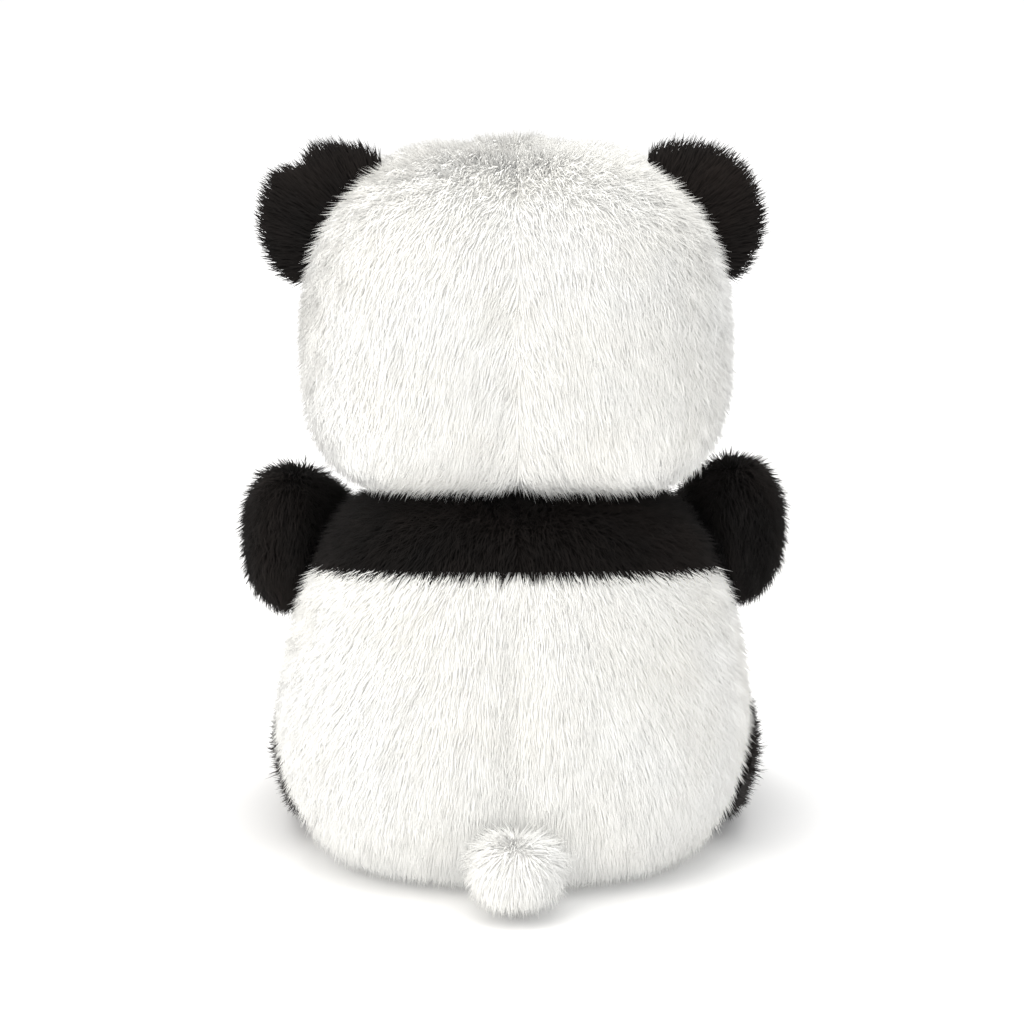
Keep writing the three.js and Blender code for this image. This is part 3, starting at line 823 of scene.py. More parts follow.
class PANDA_OT_head(bpy.types.Operator):
    """Sews the head: two back panels, two cheeks, a forehead and a muzzle"""

    bl_idname = "panda.head"
    bl_label = "Head"

    def execute(self, context):
        depth = settings()[1].backing
        head = placed_ball("head_form", 30, lambda direction: head_point(direction, depth))
        ear_line = (Vector((0, EAR_SEAM_Y, 0)), Vector((0, 1, 0)))
        forehead_sides = [(Vector((side * FOREHEAD_HALF, 0, 0)), Vector((1, 0, 0))) for side in (1, -1)]
        forehead_edge = (Vector((0, 0, FOREHEAD_FLOOR)), Vector((0, 0, 1)))
        stuffed(head, [
            (*MIDDLE_SEAM, lambda point: point.y > EAR_SEAM_Y or point.z < FOREHEAD_FLOOR),
            (*ear_line, everywhere),
            *[(*line, lambda point: point.y < EAR_SEAM_Y and point.z > FOREHEAD_FLOOR)
              for line in forehead_sides]])

        def in_forehead(point):
            return abs(point.x) < FOREHEAD_HALF and point.z > FOREHEAD_FLOOR

        def under_face(point):
            covered = muzzle_share(point) < 0.9 or min(patch_share(point, side) for side in (1, -1)) < 0.86
            return in_forehead(point) or (covered and point.y < EAR_SEAM_Y)

        for index, (name, side) in enumerate(SIDES):
            half = (Vector((0, 0, 0)), Vector((-side, 0, 0)))
            back = panel(head, f"head_back_{name}_fabric", half, other_side(ear_line))
            comb(back, head_nap)
            finish_piece(
                sewn(back, white_pile(), seed=index),
                "head", f"head_back_{name}_panel")
            cheek = panel(
                head, f"cheek_{name}_fabric", half, ear_line, drop=under_face,
                marks=[*forehead_sides, forehead_edge])
            comb(cheek, head_nap, face_length)
            finish_piece(
                sewn(cheek, white_pile(), seed=2 + index, spacing=0.6 * MM),
                "head", f"cheek_{name}_panel")
        forehead = panel(
            head, "forehead_fabric", ear_line, forehead_sides[0], other_side(forehead_sides[1]),
            other_side(forehead_edge))
        comb(forehead, head_nap, face_length)
        finish_piece(sewn(forehead, white_pile(), seed=4), "head", "forehead_panel")
        muzzle = placed_ball("muzzle_form", 12, lambda direction: muzzle_point(direction, 3.2 * MM))
        stuffed(muzzle, [(*MIDDLE_SEAM, lambda point: point.z < MUZZLE_MIDDLE.z)], 1 * MM)
        front = panel(muzzle, "muzzle_fabric", (Vector((0, HEAD_LOW.y + 12 * MM, 0)), Vector((0, 1, 0))))
        nose_place = muzzle_point(aimed(NOSE_AIM), 0)
        comb(front, lambda point: away_from(point, nose_place), lambda point: 0.36)
        finish_piece(
            sewn(front, white_pile(), seed=5, spacing=0.5 * MM, lean=math.radians(55)),
            "head", "muzzle_panel")
        discard(head, muzzle)
        return {"FINISHED"}


# ---- Face ----


def turned_to(aim):
    """A matrix that turns +Z to an aim."""
    return Vector((0, 0, 1)).rotation_difference(aim).to_matrix().to_4x4()


def spun(name, profile, start, aim, steps=32):
    """A turned piece: a profile of radius and height spun about the aim."""
    work = bmesh.new()
    corners = [work.verts.new((radius, 0, height)) for radius, height in profile]
    edges = [work.edges.new(pair) for pair in zip(corners, corners[1:], strict=False)]
    bmesh.ops.spin(
        work, geom=corners + edges, cent=(0, 0, 0), axis=(0, 0, 1), angle=2 * math.pi, steps=steps,
        use_merge=True)
    bmesh.ops.remove_doubles(work, verts=work.verts, dist=1e-6)
    bmesh.ops.transform(work, verts=work.verts, matrix=Matrix.Translation(start) @ turned_to(aim))
    made = form_object(name, work)
    made.data.polygons.foreach_set("use_smooth", [True] * len(made.data.polygons))
    return made


def arc(radius, height, low, high, steps):
    """Points of an elliptical arc about the spin axis, its angles in degrees from level."""
    angles = [math.radians(low + (high - low) * step / steps) for step in range(steps + 1)]
    return [(radius * math.cos(angle), height * math.sin(angle)) for angle in angles]


def plastic_material():
    def build(graph):
        place = object_place(graph)
        haze = graph.noise(420.0, 3.0, place)
        scuffs = graph.noise(1500.0, 2.0, place)
        colour = settings()[2].plastic
        return {
            "Base Color": graph.colour_mix(haze, solid_colour(colour), solid_colour(colour, 2.2)),
            "Roughness": 0.07 + haze * 0.08 + scuffs * 0.03,
        }

    return shader("eye plastic", build, Coat_Weight=0.2, Coat_Roughness=0.03, Specular_IOR_Level=0.35)


def washer_material():
    def build(graph):
        place = object_place(graph)
        flow = graph.noise(300.0, 2.0, place)
        colour = settings()[2].washer
        return {
            "Base Color": graph.colour_mix(flow, solid_colour(colour), solid_colour(colour, 0.93)),
            "Roughness": 0.38 + flow * 0.12,
        }

    return shader("washer plastic", build)


def thread_material():
    def build(graph):
        place = object_place(graph)
        fibres = graph.noise(2600.0, 2.0, place)
        sheen = graph.noise(500.0, 1.0, place)
        colour = settings()[2].black_tip
        return {
            "Base Color": graph.colour_mix(fibres, solid_colour(colour), solid_colour(colour, 2.4)),
            "Roughness": 0.42 + sheen * 0.2,
            "Normal": graph.bump(fibres, 0.35, 0.1 * MM),
        }

    return shader("mouth thread", build)


def fitted(piece, material, body, node):
    """Gives a hard piece its material and its place in the frame."""
    piece.data.materials.append(material)
    finish_piece(piece, body, node)


SHANK = 2.0 * MM
SHANK_END = 13 * MM


# Radii and heights of the locks behind the eyes and the nose, in millimetres from where the shank starts
EYE_LOCK = (
    (2.2, -9.2), (2.2, -11.1), (3.2, -11.2), (3.5, -10.4), (5.1, -10.2), (5.5, -9.9), (5.5, -9.4),
    (5.2, -9.2))
NOSE_LOCK = ((2.2, -7.4), (2.2, -9.3), (3.3, -9.4), (5.3, -8.4), (5.5, -7.6), (5.2, -7.4))


def lock(name, ring, start, aim):
    """The washer that holds a shank from inside."""
    return spun(name, [(radius * MM, height * MM) for radius, height in (*ring, ring[0])], start, aim)


def peg_parts(name, start, aim, cap_profile, cap_node):
    """A plastic cap on a ribbed shank, and the washer that locks it from inside."""
    ribs = []
    for rib in range(7):
        top = -3.0 * MM - rib * 1.3 * MM
        ribs += [(SHANK, top), (SHANK * 0.82, top - 0.55 * MM)]
    shank = [(SHANK, -1 * MM), *ribs, (SHANK * 0.6, -SHANK_END), (0, -SHANK_END)]
    cap = spun(name, [*cap_profile, *shank], start, aim)
    fitted(cap, plastic_material(), "head", cap_node)
    return lock(name + "_lock", EYE_LOCK, start, aim)


class PANDA_OT_face(bpy.types.Operator):
    """Adds the eye patches, safety eyes, nose, their washers and the stitched mouth"""

    bl_idname = "panda.face"
    bl_label = "Face"

    def execute(self, context):
        for index, (name, side) in enumerate(SIDES):
            self.eye(name, side, index)
        self.nose()
        self.mouth()
        return {"FINISHED"}

    def eye(self, name, side, index):
        patch = patch_sheet(f"eye_patch_{name}_fabric", side)
        centre = on_head(aimed(PATCH_AIM, side), PATCH_DEPTH)
        comb(patch, lambda point: away_from(point, centre), lambda point: 0.34)
        finish_piece(
            sewn(patch, black_pile(), seed=20 + index, spacing=0.42 * MM, lean=math.radians(45), size=1.0),
            "head", f"eye_patch_{name}")
        aim = aimed(EYE_AIM, side)
        rim = EYE_RADIUS - 0.5 * MM
        dome = [
            (0, EYE_HEIGHT), *reversed(arc(EYE_RADIUS, EYE_HEIGHT, 0, 84, 9)),
            (EYE_RADIUS, -0.5 * MM), (rim, -1 * MM)]
        washer = peg_parts(f"safety_eye_{name}", on_head(aim, 1.6 * MM), aim, dome, f"eye_{name}")
        fitted(washer, washer_material(), "head", f"eye_washer_{name}")

    def nose(self):
        aim = aimed(NOSE_AIM)
        start = muzzle_point(aim, 0)

        def nose_point(direction):
            point = squared(direction, 2.3)
            narrow = 1 - 0.42 * smooth_step(-point.z, -0.3, 1.0)
            return start + Vector((point.x * 8.6 * narrow, point.y * 5.4, point.z * 5.8)) * MM

        tip = placed_ball("safety_nose", 12, nose_point)
        tip.data.polygons.foreach_set("use_smooth", [True] * len(tip.data.polygons))
        stalk = spun(
            "nose_stalk", [(0, 0), (SHANK, -0.1 * MM), (SHANK, -12 * MM), (0, -12.5 * MM)], start, aim)
        joined = bmesh.new()
        joined.from_mesh(tip.data)
        joined.from_mesh(stalk.data)
        joined.to_mesh(tip.data)
        joined.free()
        discard(stalk)
        fitted(tip, plastic_material(), "head", "nose")
        washer = lock("nose_lock", NOSE_LOCK, start, aim)
        fitted(washer, washer_material(), "head", "nose_washer")

    def mouth(self):
        """Short slanted stitches laid like a cord along the mouth."""
        def lip(x, z):
            offset = Vector((x, 0, z)) * MM
            radii = MUZZLE_RADII
            left = 1 - abs(offset.x / radii.x) ** MUZZLE_POWER - abs(offset.z / radii.z) ** MUZZLE_POWER
            front = -radii.y * left ** (1 / MUZZLE_POWER) - 0.1 * MM
            return MUZZLE_MIDDLE + Vector((offset.x, front, offset.z))

        count = 24
        smile = [lip(x, -6.4 + 0.045 * x * x) for x in np.linspace(-9.5, 9.5, count)]
        stroke = [lip(0, z) for z in np.linspace(2.2, -6.0, 10)]
        work = bmesh.new()
        for line in (smile, stroke):
            for here, there in zip(line, line[1:], strict=False):
                along = (there - here).normalized()
                slant = Matrix.Rotation(math.radians(28), 4, "Y")
                size = Matrix.Diagonal((0.55 * MM, 0.5 * MM, 0.95 * MM, 1))
                place = Matrix.Translation((here + there) / 2) @ slant @ turned_to(along) @ size
                bmesh.ops.create_uvsphere(work, u_segments=8, v_segments=6, radius=1.0, matrix=place)
        stitches = form_object("mouth_stitches", work)
        stitches.data.polygons.foreach_set("use_smooth", [True] * len(stitches.data.polygons))
        fitted(stitches, thread_material(), "head", "mouth_stitch")


# ---- Ears ----

EAR_RADIUS = 29 * MM
EAR_THICK = 7.5 * MM
EAR_SLOPE = math.radians(56)
EAR_CUP = 3 * MM
# The dent in the left ear's rim: its depth, and its middle and half-width in degrees round the ear
DENT_DEPTH, DENT_ANGLE, DENT_SPREAD = 4.5 * MM, 57, 11


def ear_form(side, name):
    """A stuffed ear, cupped forwards; the left one has a dent in its upper rim."""
    low, high = span(f"ear_{name}_back_panel", f"ear_{name}_front_panel")
    hinge = JOINT[f"ear_{name}_fold"]
    inwards = 0 if side > 0 else 3.5 * MM
    reach = max(abs(low.x), abs(high.x)) - EAR_RADIUS - inwards
    middle = Vector((side * reach, (low.y + high.y) / 2, high.z - EAR_RADIUS))
    depth = 5 * MM

    def ear_point(direction):
        point = squared(direction, 2.1)
        outward = math.hypot(point.x, point.z)
        angle = math.degrees(math.atan2(point.z, point.x * side))
        dent = DENT_DEPTH * math.exp(-((angle - DENT_ANGLE) / DENT_SPREAD) ** 2) * outward
        reach = EAR_RADIUS - depth - (dent if side > 0 else 0.0)
        cup = EAR_CUP * (1 - outward ** 2)
        return middle + Vector((point.x * reach, point.y * (EAR_THICK - 3 * MM) + cup, point.z * reach))

    out = Vector((side * math.sin(EAR_SLOPE), 0, math.cos(EAR_SLOPE)))
    return placed_ball(f"ear_{name}_form", 14, ear_point), middle, hinge, out


class PANDA_OT_ears(bpy.types.Operator):
    """Sews the two ears, each a back and a front layer turned out along its rim"""

    bl_idname = "panda.ears"
    bl_label = "Ears"

    def execute(self, context):
        for index, (name, side) in enumerate(SIDES):
            form, middle, hinge, out = ear_form(side, name)
            stuffed(form, [(middle, Vector((0, 1, 0)), everywhere)], 1 * MM)
            base = (hinge + out * 1.5 * MM, -out)
            for layer, way in (("back", 1), ("front", -1)):
                sheet = panel(form, f"ear_{name}_{layer}_fabric", base, (middle, Vector((0, -way, 0))))
                comb(sheet, lambda point: away_from(point, hinge - out * 20 * MM), lambda point: 0.8)
                finish_piece(
                    sewn(sheet, black_pile(), seed=30 + index * 2 + way, lean=math.radians(48)),
                    f"ear_{name}", f"ear_{name}_{layer}_panel")
            discard(form)
        return {"FINISHED"}


# ---- Body ----


def body_nap(point):
    spread = parting(point) if point.y > SIDE_SEAM_Y else 0.0
    return Vector((0.25 * point.x / BODY_WIDTH + spread, 0, -1))


def beside_legs(point):
    """How much of the body's pile is left where a leg is sewn against it and presses it short."""
    share = 1.0
    for name, side in SIDES:
        root = JOINT[f"leg_{name}_lift"]
        across = math.hypot(point.y - min(point.y, root.y), point.z - root.z)
        if point.x * side > 0.5 * root.x * side:
            share = min(share, 0.25 + 0.75 * smooth_step(across, 19 * MM, 28 * MM))
    return share


class PANDA_OT_body(bpy.types.Operator):
    """Sews the body: the black band, the white back and belly, and the flat seat"""

    bl_idname = "panda.body"
    bl_label = "Body"

    def execute(self, context):
        depth = settings()[1].backing
        body = placed_ball("body_form", 34, lambda direction: body_point(direction, depth))
        flank = (Vector((0, SIDE_SEAM_Y, 0)), Vector((0, 1, 0)))
        band = (BAND_POINT, BAND_NORMAL)
        seat = (Vector((0, 0, SEAT_SEAM)), Vector((0, 0, 1)))
        stuffed(body, [
            (*MIDDLE_SEAM, lambda point: point.y > SIDE_SEAM_Y), (*flank, everywhere), (*band, everywhere),
            (*seat, everywhere), (Vector((0, 0, 0)), Vector((0, 0, 1)), everywhere)])
        above_band, above_seat, behind = other_side(band), other_side(seat), other_side(flank)
        for index, (name, side) in enumerate(SIDES):
            half = (Vector((0, 0, 0)), Vector((-side, 0, 0)))
            self.sew(panel(body, f"shoulder_back_{name}_fabric", half, behind, above_band),
                     f"shoulder_back_{name}_panel", "black_pile", 40 + index)
            self.sew(panel(body, f"back_{name}_fabric", half, behind, band, above_seat),
                     f"back_{name}_panel", "white_pile", 42 + index)
        self.sew(panel(body, "chest_fabric", flank, above_band), "chest_panel", "black_pile", 44)
        self.sew(panel(body, "belly_fabric", flank, band, above_seat), "belly_panel", "white_pile", 45)
        self.sew(panel(body, "seat_fabric", seat), "seat_panel", "white_pile", 46, 0.45, 0.8 * MM)
        discard(body)
        return {"FINISHED"}

    def sew(self, sheet, node, slot, seed, length=1.0, spacing=None):
        comb(sheet, body_nap, lambda point: length * beside_legs(point))
        material = white_pile() if slot == "white_pile" else black_pile()
        finish_piece(sewn(sheet, material, seed=seed, spacing=spacing), "torso", node)


# ---- Arms, legs and tail ----


def body_reach(height):
    """The body's half-width at a height, as a share of its greatest."""
    lengths, widths, heights = smooth_outline(BODY_OUTLINE)
    return float(np.interp(height / BODY_TOP, heights[heights > 0.001], widths[heights > 0.001]))


def clear_of_body(point):
    """Moves a point of a limb outwards until it clears the body."""
    if 0 < point.z < BODY_TOP:
        x, y = point.x / (BODY_WIDTH + BODY_GAP), (point.y - BODY_MIDDLE_Y) / (BODY_DEPTH + BODY_GAP)
        now = (abs(x) ** BODY_POWER + abs(y) ** BODY_POWER) ** (1 / BODY_POWER)
        wanted = body_reach(point.z)
        if 1e-6 < now < wanted:
            grow = wanted / now
            point.x, point.y = point.x * grow, BODY_MIDDLE_Y + (point.y - BODY_MIDDLE_Y) * grow
    return point


ARM_RADIUS = 20 * MM
LEG_RADIUS = 25 * MM
BODY_GAP = 1.5 * MM  # between the body and a limb that lies against it
SHOULDER_RISE = 15 * MM
SHOULDER_OUT = 6 * MM


def arm_shape(name, side):
    """The arm's place function, and the way its pile lies."""
    low = span(f"arm_{name}_outer_panel", f"arm_{name}_inner_panel")[0]
    root = JOINT[f"arm_{name}_raise"]
    tip = Vector((root.x + side * 3.5 * MM, low.y + ARM_RADIUS, low.z + ARM_RADIUS))
    along = (tip - root).normalized()
    aside = along.cross(Vector((0, 0, 1))).normalized()
    up = aside.cross(along)
    half, middle = (tip - root).length / 2 + ARM_RADIUS, (root + tip) / 2

    def place(direction, depth):
        point = squared(Vector((direction.x, direction.z, direction.y)), 2.5)
        shoulder = smooth_step(-point.z, -0.1, 0.9)
        width = (ARM_RADIUS - depth) * (1 + 0.05 * point.z)
        tall = width + SHOULDER_RISE * shoulder
        spot = middle + along * point.z * (half + 5 * MM * shoulder - depth) + aside * point.x * width
        spot += up * (point.y * tall - 2.5 * MM * point.z ** 2 * (1 - shoulder))
        spot += Vector((side * SHOULDER_OUT + 1.2 * MM, 0, 0)) * shoulder
        return clear_of_body(spot)

    return place, along


def arm_nap(point, root, along):
    """The pile spreads back and down over the shoulder and turns along the arm towards the paw."""
    share = smooth_step(root.y - point.y, 4 * MM, 34 * MM)
    return along * share + away_from(point, root + Vector((0, -24, 34)) * MM) * (1 - 0.5 * share)


class PANDA_OT_arms(bpy.types.Operator):
    """Sews the two arms, each an outer and an inner panel"""

    bl_idname = "panda.arms"
    bl_label = "Arms"

    def execute(self, context):
        depth = settings()[1].backing
        for index, (name, side) in enumerate(SIDES):
            place, along = arm_shape(name, side)
            form = placed_ball(f"arm_{name}_form", 20, lambda direction: place(direction, depth))
            seam_at = JOINT[f"arm_{name}_raise"]
            seam = (seam_at + Vector((side * 1 * MM, 0, 0)), Vector((side, 0, 0)))
            stuffed(form, [(*seam, everywhere)], 2 * MM)
            for layer, cut in (("outer", other_side(seam)), ("inner", seam)):
                sheet = panel(form, f"arm_{name}_{layer}_fabric", cut)
                comb(sheet, lambda point: arm_nap(point, seam_at, along), lambda point: 0.95)
                finish_piece(
                    sewn(sheet, black_pile(), seed=50 + index * 2 + (layer == "inner")),
                    f"arm_{name}", f"arm_{name}_{layer}_panel")
            discard(form)
        return {"FINISHED"}


def leg_shape(name, side):
    """The leg's place function, ending in a rounded foot."""
    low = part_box(f"foot_{name}_sole")[0]
    root = JOINT[f"leg_{name}_lift"]
    front, back = low.y, root.y + LEG_RADIUS

    def place(direction, depth):
        point = squared(direction, 2.8)
        toe = smooth_step(-point.y, 0.3, 1.0)
        hip = 3 * MM * smooth_step(point.y, -0.4, 0.6)
        wide = LEG_RADIUS * (1 + 0.05 * toe) - depth
        spot = Vector((
            root.x + side * 2.5 * MM + point.x * wide,
            (front + back) / 2 + point.y * ((back - front) / 2 - depth * 0.6),
            root.z + 1.5 * MM * toe + hip + point.z * (wide + hip)))
        return clear_of_body(spot)

    return place


class PANDA_OT_legs(bpy.types.Operator):
    """Sews the two legs, each an upper and a lower panel closed by a sole"""

    bl_idname = "panda.legs"
    bl_label = "Legs"

    def execute(self, context):
        depth = settings()[1].backing
        for index, (name, side) in enumerate(SIDES):
            place = leg_shape(name, side)
            form = placed_ball(f"leg_{name}_form", 22, lambda direction: place(direction, depth))
            edge = (JOINT[f"leg_{name}_lift"], Vector((0, 0, 1)))
            sole = (Vector((0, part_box(f"foot_{name}_sole")[1].y, 0)), Vector((0, 1, 0)))
            stuffed(form, [(*edge, lambda point: point.y > sole[0].y), (*sole, everywhere)], 2 * MM)
            cuts = {
                f"leg_{name}_upper_panel": (other_side(sole), other_side(edge)),
                f"leg_{name}_lower_panel": (other_side(sole), edge),
                f"foot_{name}_sole": (sole,),
            }
            for number, (node, cut) in enumerate(cuts.items()):
                sheet = panel(form, node.replace("_panel", "") + "_fabric", *cut)
                length = 0.4 if "sole" in node else 0.9
                comb(sheet, lambda point: Vector((0, -1, -0.25)), lambda point: length)
                finish_piece(
                    sewn(sheet, black_pile(), seed=60 + index * 3 + number),
                    f"leg_{name}", node)
            discard(form)
        return {"FINISHED"}


def tail_shape():
    low, high = span("tail_upper_panel", "tail_lower_panel")
    radii = Vector((high.x, high.x, (high.z - low.z) / 2))
    middle = Vector((0, high.y - radii.y - 2 * MM, (low.z + high.z) / 2 + 2 * MM))

    def place(direction, depth):
        point = squared(direction, 2.2)
        return middle + by_axis(point, radii, depth)

    return place, middle


class PANDA_OT_tail(bpy.types.Operator):
    """Sews the pom tail from an upper and a lower panel"""

    bl_idname = "panda.tail"
    bl_label = "Tail"

    def execute(self, context):
        place, middle = tail_shape()
        form = placed_ball("tail_form", 12, lambda direction: place(direction, 5.6 * MM))
        edge = (middle, Vector((0, 0, 1)))
        stuffed(form, [(*edge, everywhere)], 1 * MM)
        for layer, cut in (("upper", other_side(edge)), ("lower", edge)):
            sheet = panel(form, f"tail_{layer}_fabric", cut)
            comb(sheet, lambda point: Vector((0.02 * point.x / MM, 0.15, -1)))
            finish_piece(
                sewn(
                    sheet, white_pile(), seed=70 + (layer == "upper"), lean=math.radians(44),
                    spacing=0.44 * MM),
                "tail", f"tail_{layer}_panel")
        discard(form)
        return {"FINISHED"}


# ---- Filling ----


def fibre_material():
    def build(graph):
        place = object_place(graph)
        lumps = graph.noise(90.0, 3.0, place)
        strands = graph.noise(900.0, 4.0, place, roughness=0.7)
        colour = settings()[2].fibre
        # Painted shade: the colour follows the bump's height, darker in the hollows between the lumps and
        # strands.
        height = lumps * 0.6 + strands * 0.4
        return {
            "Base Color": graph.colour_mix(height, solid_colour(colour, 0.82), solid_colour(colour)),
            "Roughness": 0.85 + strands * 0.1,
            "Normal": graph.bump(height, 0.8, 1.5 * MM),
        }

    return shader("stuffing fibre", build, Sheen_Weight=0.2, Sheen_Roughness=0.5)


THREAD_TURN = 2 * math.pi / (0.9 * MM)  # the weave's angle for each metre, with 0.9 mm between threads


def cotton_material():
    def build(graph):
        place = object_place(graph)
        parts = graph.node("ShaderNodeSeparateXYZ", None, {0: place}).socket.node.outputs
        x, y = Value(graph, parts[0]), Value(graph, parts[1])
        warp = graph.math("SINE", x * THREAD_TURN)
        weft = graph.math("SINE", y * THREAD_TURN)
        over = graph.math("MAXIMUM", warp * 0.5 + 0.5, weft * 0.5 + 0.5)
        slub = graph.noise(160.0, 2.0, place)
        colour = settings()[2].cotton
        # Painted shade: the colour darkens in the gaps between the threads, where the weave's bump is low;
        # the slub is the yarn's own tone.
        shade = over * 0.7 + slub * 0.3
        return {
            "Base Color": graph.colour_mix(shade, solid_colour(colour, 0.78), solid_colour(colour)),
            "Roughness": 0.8 + slub * 0.12,
            "Normal": graph.bump(over, 0.5, 0.3 * MM),
        }

    return shader("bag cotton", build, Sheen_Weight=0.1)


def pellet_material():
    def build(graph):
        place = object_place(graph)
        batch = graph.noise(220.0, 1.0, place)
        colour = settings()[2].washer
        return {
            "Base Color": graph.colour_mix(batch, solid_colour(colour, 0.86), solid_colour(colour)),
            "Roughness": 0.3 + batch * 0.2,
        }

    return shader("pellet plastic", build, Specular_IOR_Level=0.5)


def lumpy(place, middle, height=1.2 * MM):
    """A point pushed in or out as hand-packed fibre lies."""
    out = (place - middle).normalized()
    return place + out * height * noise.noise(place * 55) + out * height * 0.5 * noise.noise(place * 140)


def in_box(nodes, inset, power):
    """A place function for a rounded form that fills the box of some CAD nodes."""
    low, high = span(*nodes)
    middle, half = (low + high) / 2, (high - low) / 2
    return lambda direction: middle + by_axis(squared(direction, power), half, inset), middle


PELLET_STEP = 5.4 * MM
PELLET_RADIUS = 2.3 * MM


class PANDA_OT_filling(bpy.types.Operator):
    """Packs the fibre into the head, body, limbs and tail, and the pellet bag into the seat"""

    bl_idname = "panda.filling"
    bl_label = "Filling"

    def execute(self, context):
        deep = settings()[1].backing + 2.6 * MM
        self.pack("head_stuffing", "head", lambda direction: head_point(direction, deep), HEAD_MIDDLE, 20)
        place, middle = in_box(["neck_stuffing"], 0.6 * MM, 2.0)
        self.pack("neck_stuffing", "neck", place, middle, 12)
        middle = Vector((0, BODY_MIDDLE_Y, BODY_TOP / 2))
        self.pack("body_stuffing", "torso", self.above_bag(deep), middle, 22)
        for name, side in SIDES:
            shapes = {"arm": arm_shape(name, side)[0], "leg": leg_shape(name, side)}
            for limb, place in shapes.items():
                middle = place(Vector((0, 1, 0)), deep).lerp(place(Vector((0, -1, 0)), deep), 0.5)
                self.pack(
                    f"{limb}_{name}_stuffing", f"{limb}_{name}",
                    lambda direction: place(direction, deep), middle, 12)
        place, middle = tail_shape()
        self.pack("tail_stuffing", "tail", lambda direction: place(direction, deep), middle, 8)
        self.bag()
        self.pellets()
        return {"FINISHED"}

    def above_bag(self, deep):
        """The body's filling, hollowed where the pellet bag lies under it."""
        low, high = span("pellet_bag_top", "pellet_bag_bottom")
        middle, half = (low + high) / 2, (high - low) / 2 + Vector((1, 1, 1)) * MM

        def place(direction):
            point = body_point(direction, deep)
            across = ((point.x - middle.x) / half.x) ** 2 + ((point.y - middle.y) / half.y) ** 2
            if across < 1 and point.z < high.z + 1 * MM:
                point.z = middle.z + half.z * math.sqrt(1 - across)
            return point

        return place

    def pack(self, node, body, place, middle, cuts):
        name = node.replace("stuffing", "fibre")
        form = placed_ball(name, cuts, lambda direction: lumpy(place(direction), middle))
        form.data.polygons.foreach_set("use_smooth", [True] * len(form.data.polygons))
        form.data.materials.append(fibre_material())
        finish_piece(form, body, node)

    def bag(self):
        even, middle = in_box(["pellet_bag_top", "pellet_bag_bottom"], 0.0, 2.2)

        def place(direction):
            spot = even(direction)
            return spot + direction * 0.8 * MM * (noise.noise(spot * 70) - 0.4)

        form = placed_ball("bag_form", 16, place)
        edge = (Vector((0, 0, middle.z)), Vector((0, 0, 1)))
        for layer, cut in (("top", other_side(edge)), ("bottom", edge)):
            cloth = panel(form, f"bag_{layer}_cloth", cut)
            wall = cloth.modifiers.new("cloth", "SOLIDIFY")
            wall.thickness, wall.offset = 0.6 * MM, -1
            cloth.data.polygons.foreach_set("use_smooth", [True] * len(cloth.data.polygons))
            cloth.data.materials.append(cotton_material())
            finish_piece(cloth, "torso", f"pellet_bag_{layer}")
        discard(form)

    def pellets(self):
        """Beads set on a close-packed lattice and shaken, inside the bag."""
        low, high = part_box("pellets")
        middle, half = (low + high) / 2, (high - low) / 2 - Vector((3, 3, 3)) * MM
        chance = np.random.default_rng(settings()[0].seed)
        work = bmesh.new()
        for layer, row, column in product(range(-4, 5), range(-12, 13), range(-12, 13)):
            across = column + 0.5 * (row % 2) + 0.5 * (layer % 2)
            spot = Vector((across, (row + 0.58 * (layer % 2)) * 0.87, layer * 0.82)) * PELLET_STEP
            spot += Vector(chance.uniform(-0.3, 0.3, 3)) * MM
            if sum((value / size) ** 2 for value, size in zip(spot, half, strict=True)) < 1:
                turn = Matrix.Rotation(chance.uniform(0, math.pi), 4, Vector(chance.normal(size=3)))
                size = Matrix.Diagonal((1, 1, chance.uniform(0.7, 1), 1))
                place = Matrix.Translation(middle + spot) @ turn @ size
                bmesh.ops.create_icosphere(work, subdivisions=1, radius=PELLET_RADIUS, matrix=place)
        beads = form_object("bag_pellets", work)
        beads.data.polygons.foreach_set("use_smooth", [True] * len(beads.data.polygons))
        fitted(beads, pellet_material(), "torso", "pellets")


# ---- Stage ----


def floor_material():
    def build(graph):
        place = object_place(graph)
        grain = graph.noise(30.0, 3.0, place)
        return {
            "Base Color": graph.colour_mix(grain, (0.96, 0.96, 0.962, 1.0), (0.975, 0.975, 0.975, 1.0)),
            "Roughness": 0.8 + grain * 0.1,
        }

    return shader("pale paper", build, Specular_IOR_Level=0.2)


AIM_POINT = Vector((1.4, 10.7, 120)) * MM  # what the camera and its framing are centred on
LAMPS_AIM = Vector((0, 0, 0.1))
# Name, place, size, power as a share of the key light's, and colour
LIGHTS = (
    ("key", (1.1, 1.0, 1.2), 1.4, 1.0, (1.0, 0.94, 0.85)),
    ("behind the camera", (0.1, 1.9, 0.75), 1.3, 0.4, (0.985, 0.992, 1.0)),
    ("front", (0.2, -1.8, 0.95), 1.4, 0.5, (1.0, 0.99, 0.97)),
    ("above", (0, 0.25, 2.1), 1.7, 2.3, (1.0, 0.985, 0.95)),
)


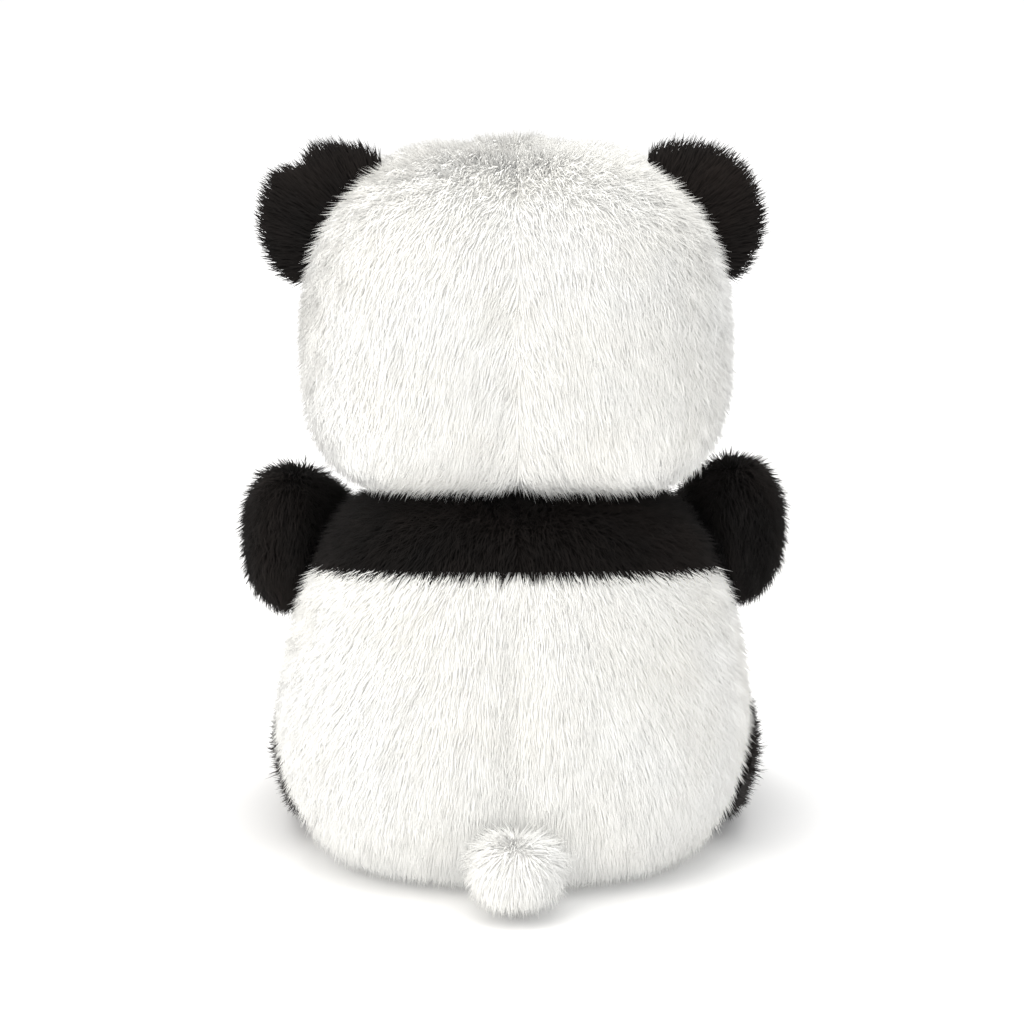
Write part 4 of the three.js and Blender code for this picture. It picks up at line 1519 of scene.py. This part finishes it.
class PANDA_OT_stage(bpy.types.Operator):
    """Sets the pale floor, the soft lights and the camera behind the panda"""

    bl_idname = "panda.stage"
    bl_label = "Stage"

    def execute(self, context):
        stage = settings()[3]
        scene = context.scene
        work = bmesh.new()
        bmesh.ops.create_grid(work, x_segments=2, y_segments=2, size=6.0)
        floor = form_object("floor", work)
        floor.data.materials.append(floor_material())
        camera = bpy.data.objects.new("camera", bpy.data.cameras.new("camera"))
        scene.collection.objects.link(camera)
        camera.data.lens = 36 * stage.distance / stage.field
        camera.data.clip_start, camera.data.clip_end = 0.05, 30
        back = Vector((0, math.cos(stage.elevation), math.sin(stage.elevation)))
        camera.location = AIM_POINT + back * stage.distance
        camera.rotation_mode = "QUATERNION"
        camera.rotation_quaternion = (-back).to_track_quat("-Z", "Y")
        scene.camera = camera
        for light in LIGHTS:
            self.light(*light)
        world = bpy.data.worlds.new("white room")
        world.use_nodes = True
        background = world.node_tree.nodes["Background"]
        background.inputs["Color"].default_value = (1.0, 1.0, 1.0, 1.0)
        background.inputs["Strength"].default_value = stage.fill
        scene.world = world
        scene.view_settings.view_transform = "Standard"
        return {"FINISHED"}

    def light(self, name, place, size, share, colour):
        lamp = bpy.data.lights.new(name, "AREA")
        lamp.energy, lamp.size, lamp.color = settings()[3].key * share, size, colour
        made = bpy.data.objects.new(name, lamp)
        made.location = place
        made.rotation_mode = "QUATERNION"
        made.rotation_quaternion = (LAMPS_AIM - Vector(place)).to_track_quat("-Z", "Y")
        bpy.context.scene.collection.objects.link(made)


# ---- Panel and run ----


PROPERTY_GROUPS = {
    "panda_pile": PandaPile, "panda_form": PandaForm, "panda_colours": PandaColours,
    "panda_stage": PandaStage}
OPERATORS = (
    PANDA_OT_stage, PANDA_OT_head, PANDA_OT_face, PANDA_OT_ears, PANDA_OT_body, PANDA_OT_arms, PANDA_OT_legs,
    PANDA_OT_tail, PANDA_OT_filling)


class PANDA_PT_parts(bpy.types.Panel):
    """Lists the steps that build the panda"""

    bl_idname = "PANDA_PT_parts"
    bl_label = "Plush panda"
    bl_space_type = "VIEW_3D"
    bl_region_type = "UI"
    bl_category = "Panda"

    def draw(self, context):
        for group in PROPERTY_GROUPS:
            box = self.layout.box()
            for name in getattr(context.scene, group).bl_rna.properties.keys():
                if name not in ("rna_type", "name"):
                    box.prop(getattr(context.scene, group), name)
        for operator in OPERATORS:
            self.layout.operator(operator.bl_idname)


def register():
    for kind in (*PROPERTY_GROUPS.values(), *OPERATORS, PANDA_PT_parts):
        bpy.utils.register_class(kind)
    for name, kind in PROPERTY_GROUPS.items():
        setattr(bpy.types.Scene, name, PointerProperty(type=kind))


def unregister():
    for name in PROPERTY_GROUPS:
        delattr(bpy.types.Scene, name)
    for kind in reversed((*PROPERTY_GROUPS.values(), *OPERATORS, PANDA_PT_parts)):
        bpy.utils.unregister_class(kind)


def main():
    register()
    for operator in OPERATORS:
        getattr(bpy.ops.panda, operator.bl_idname.split(".")[1])()


if __name__ == "__main__":
    main()
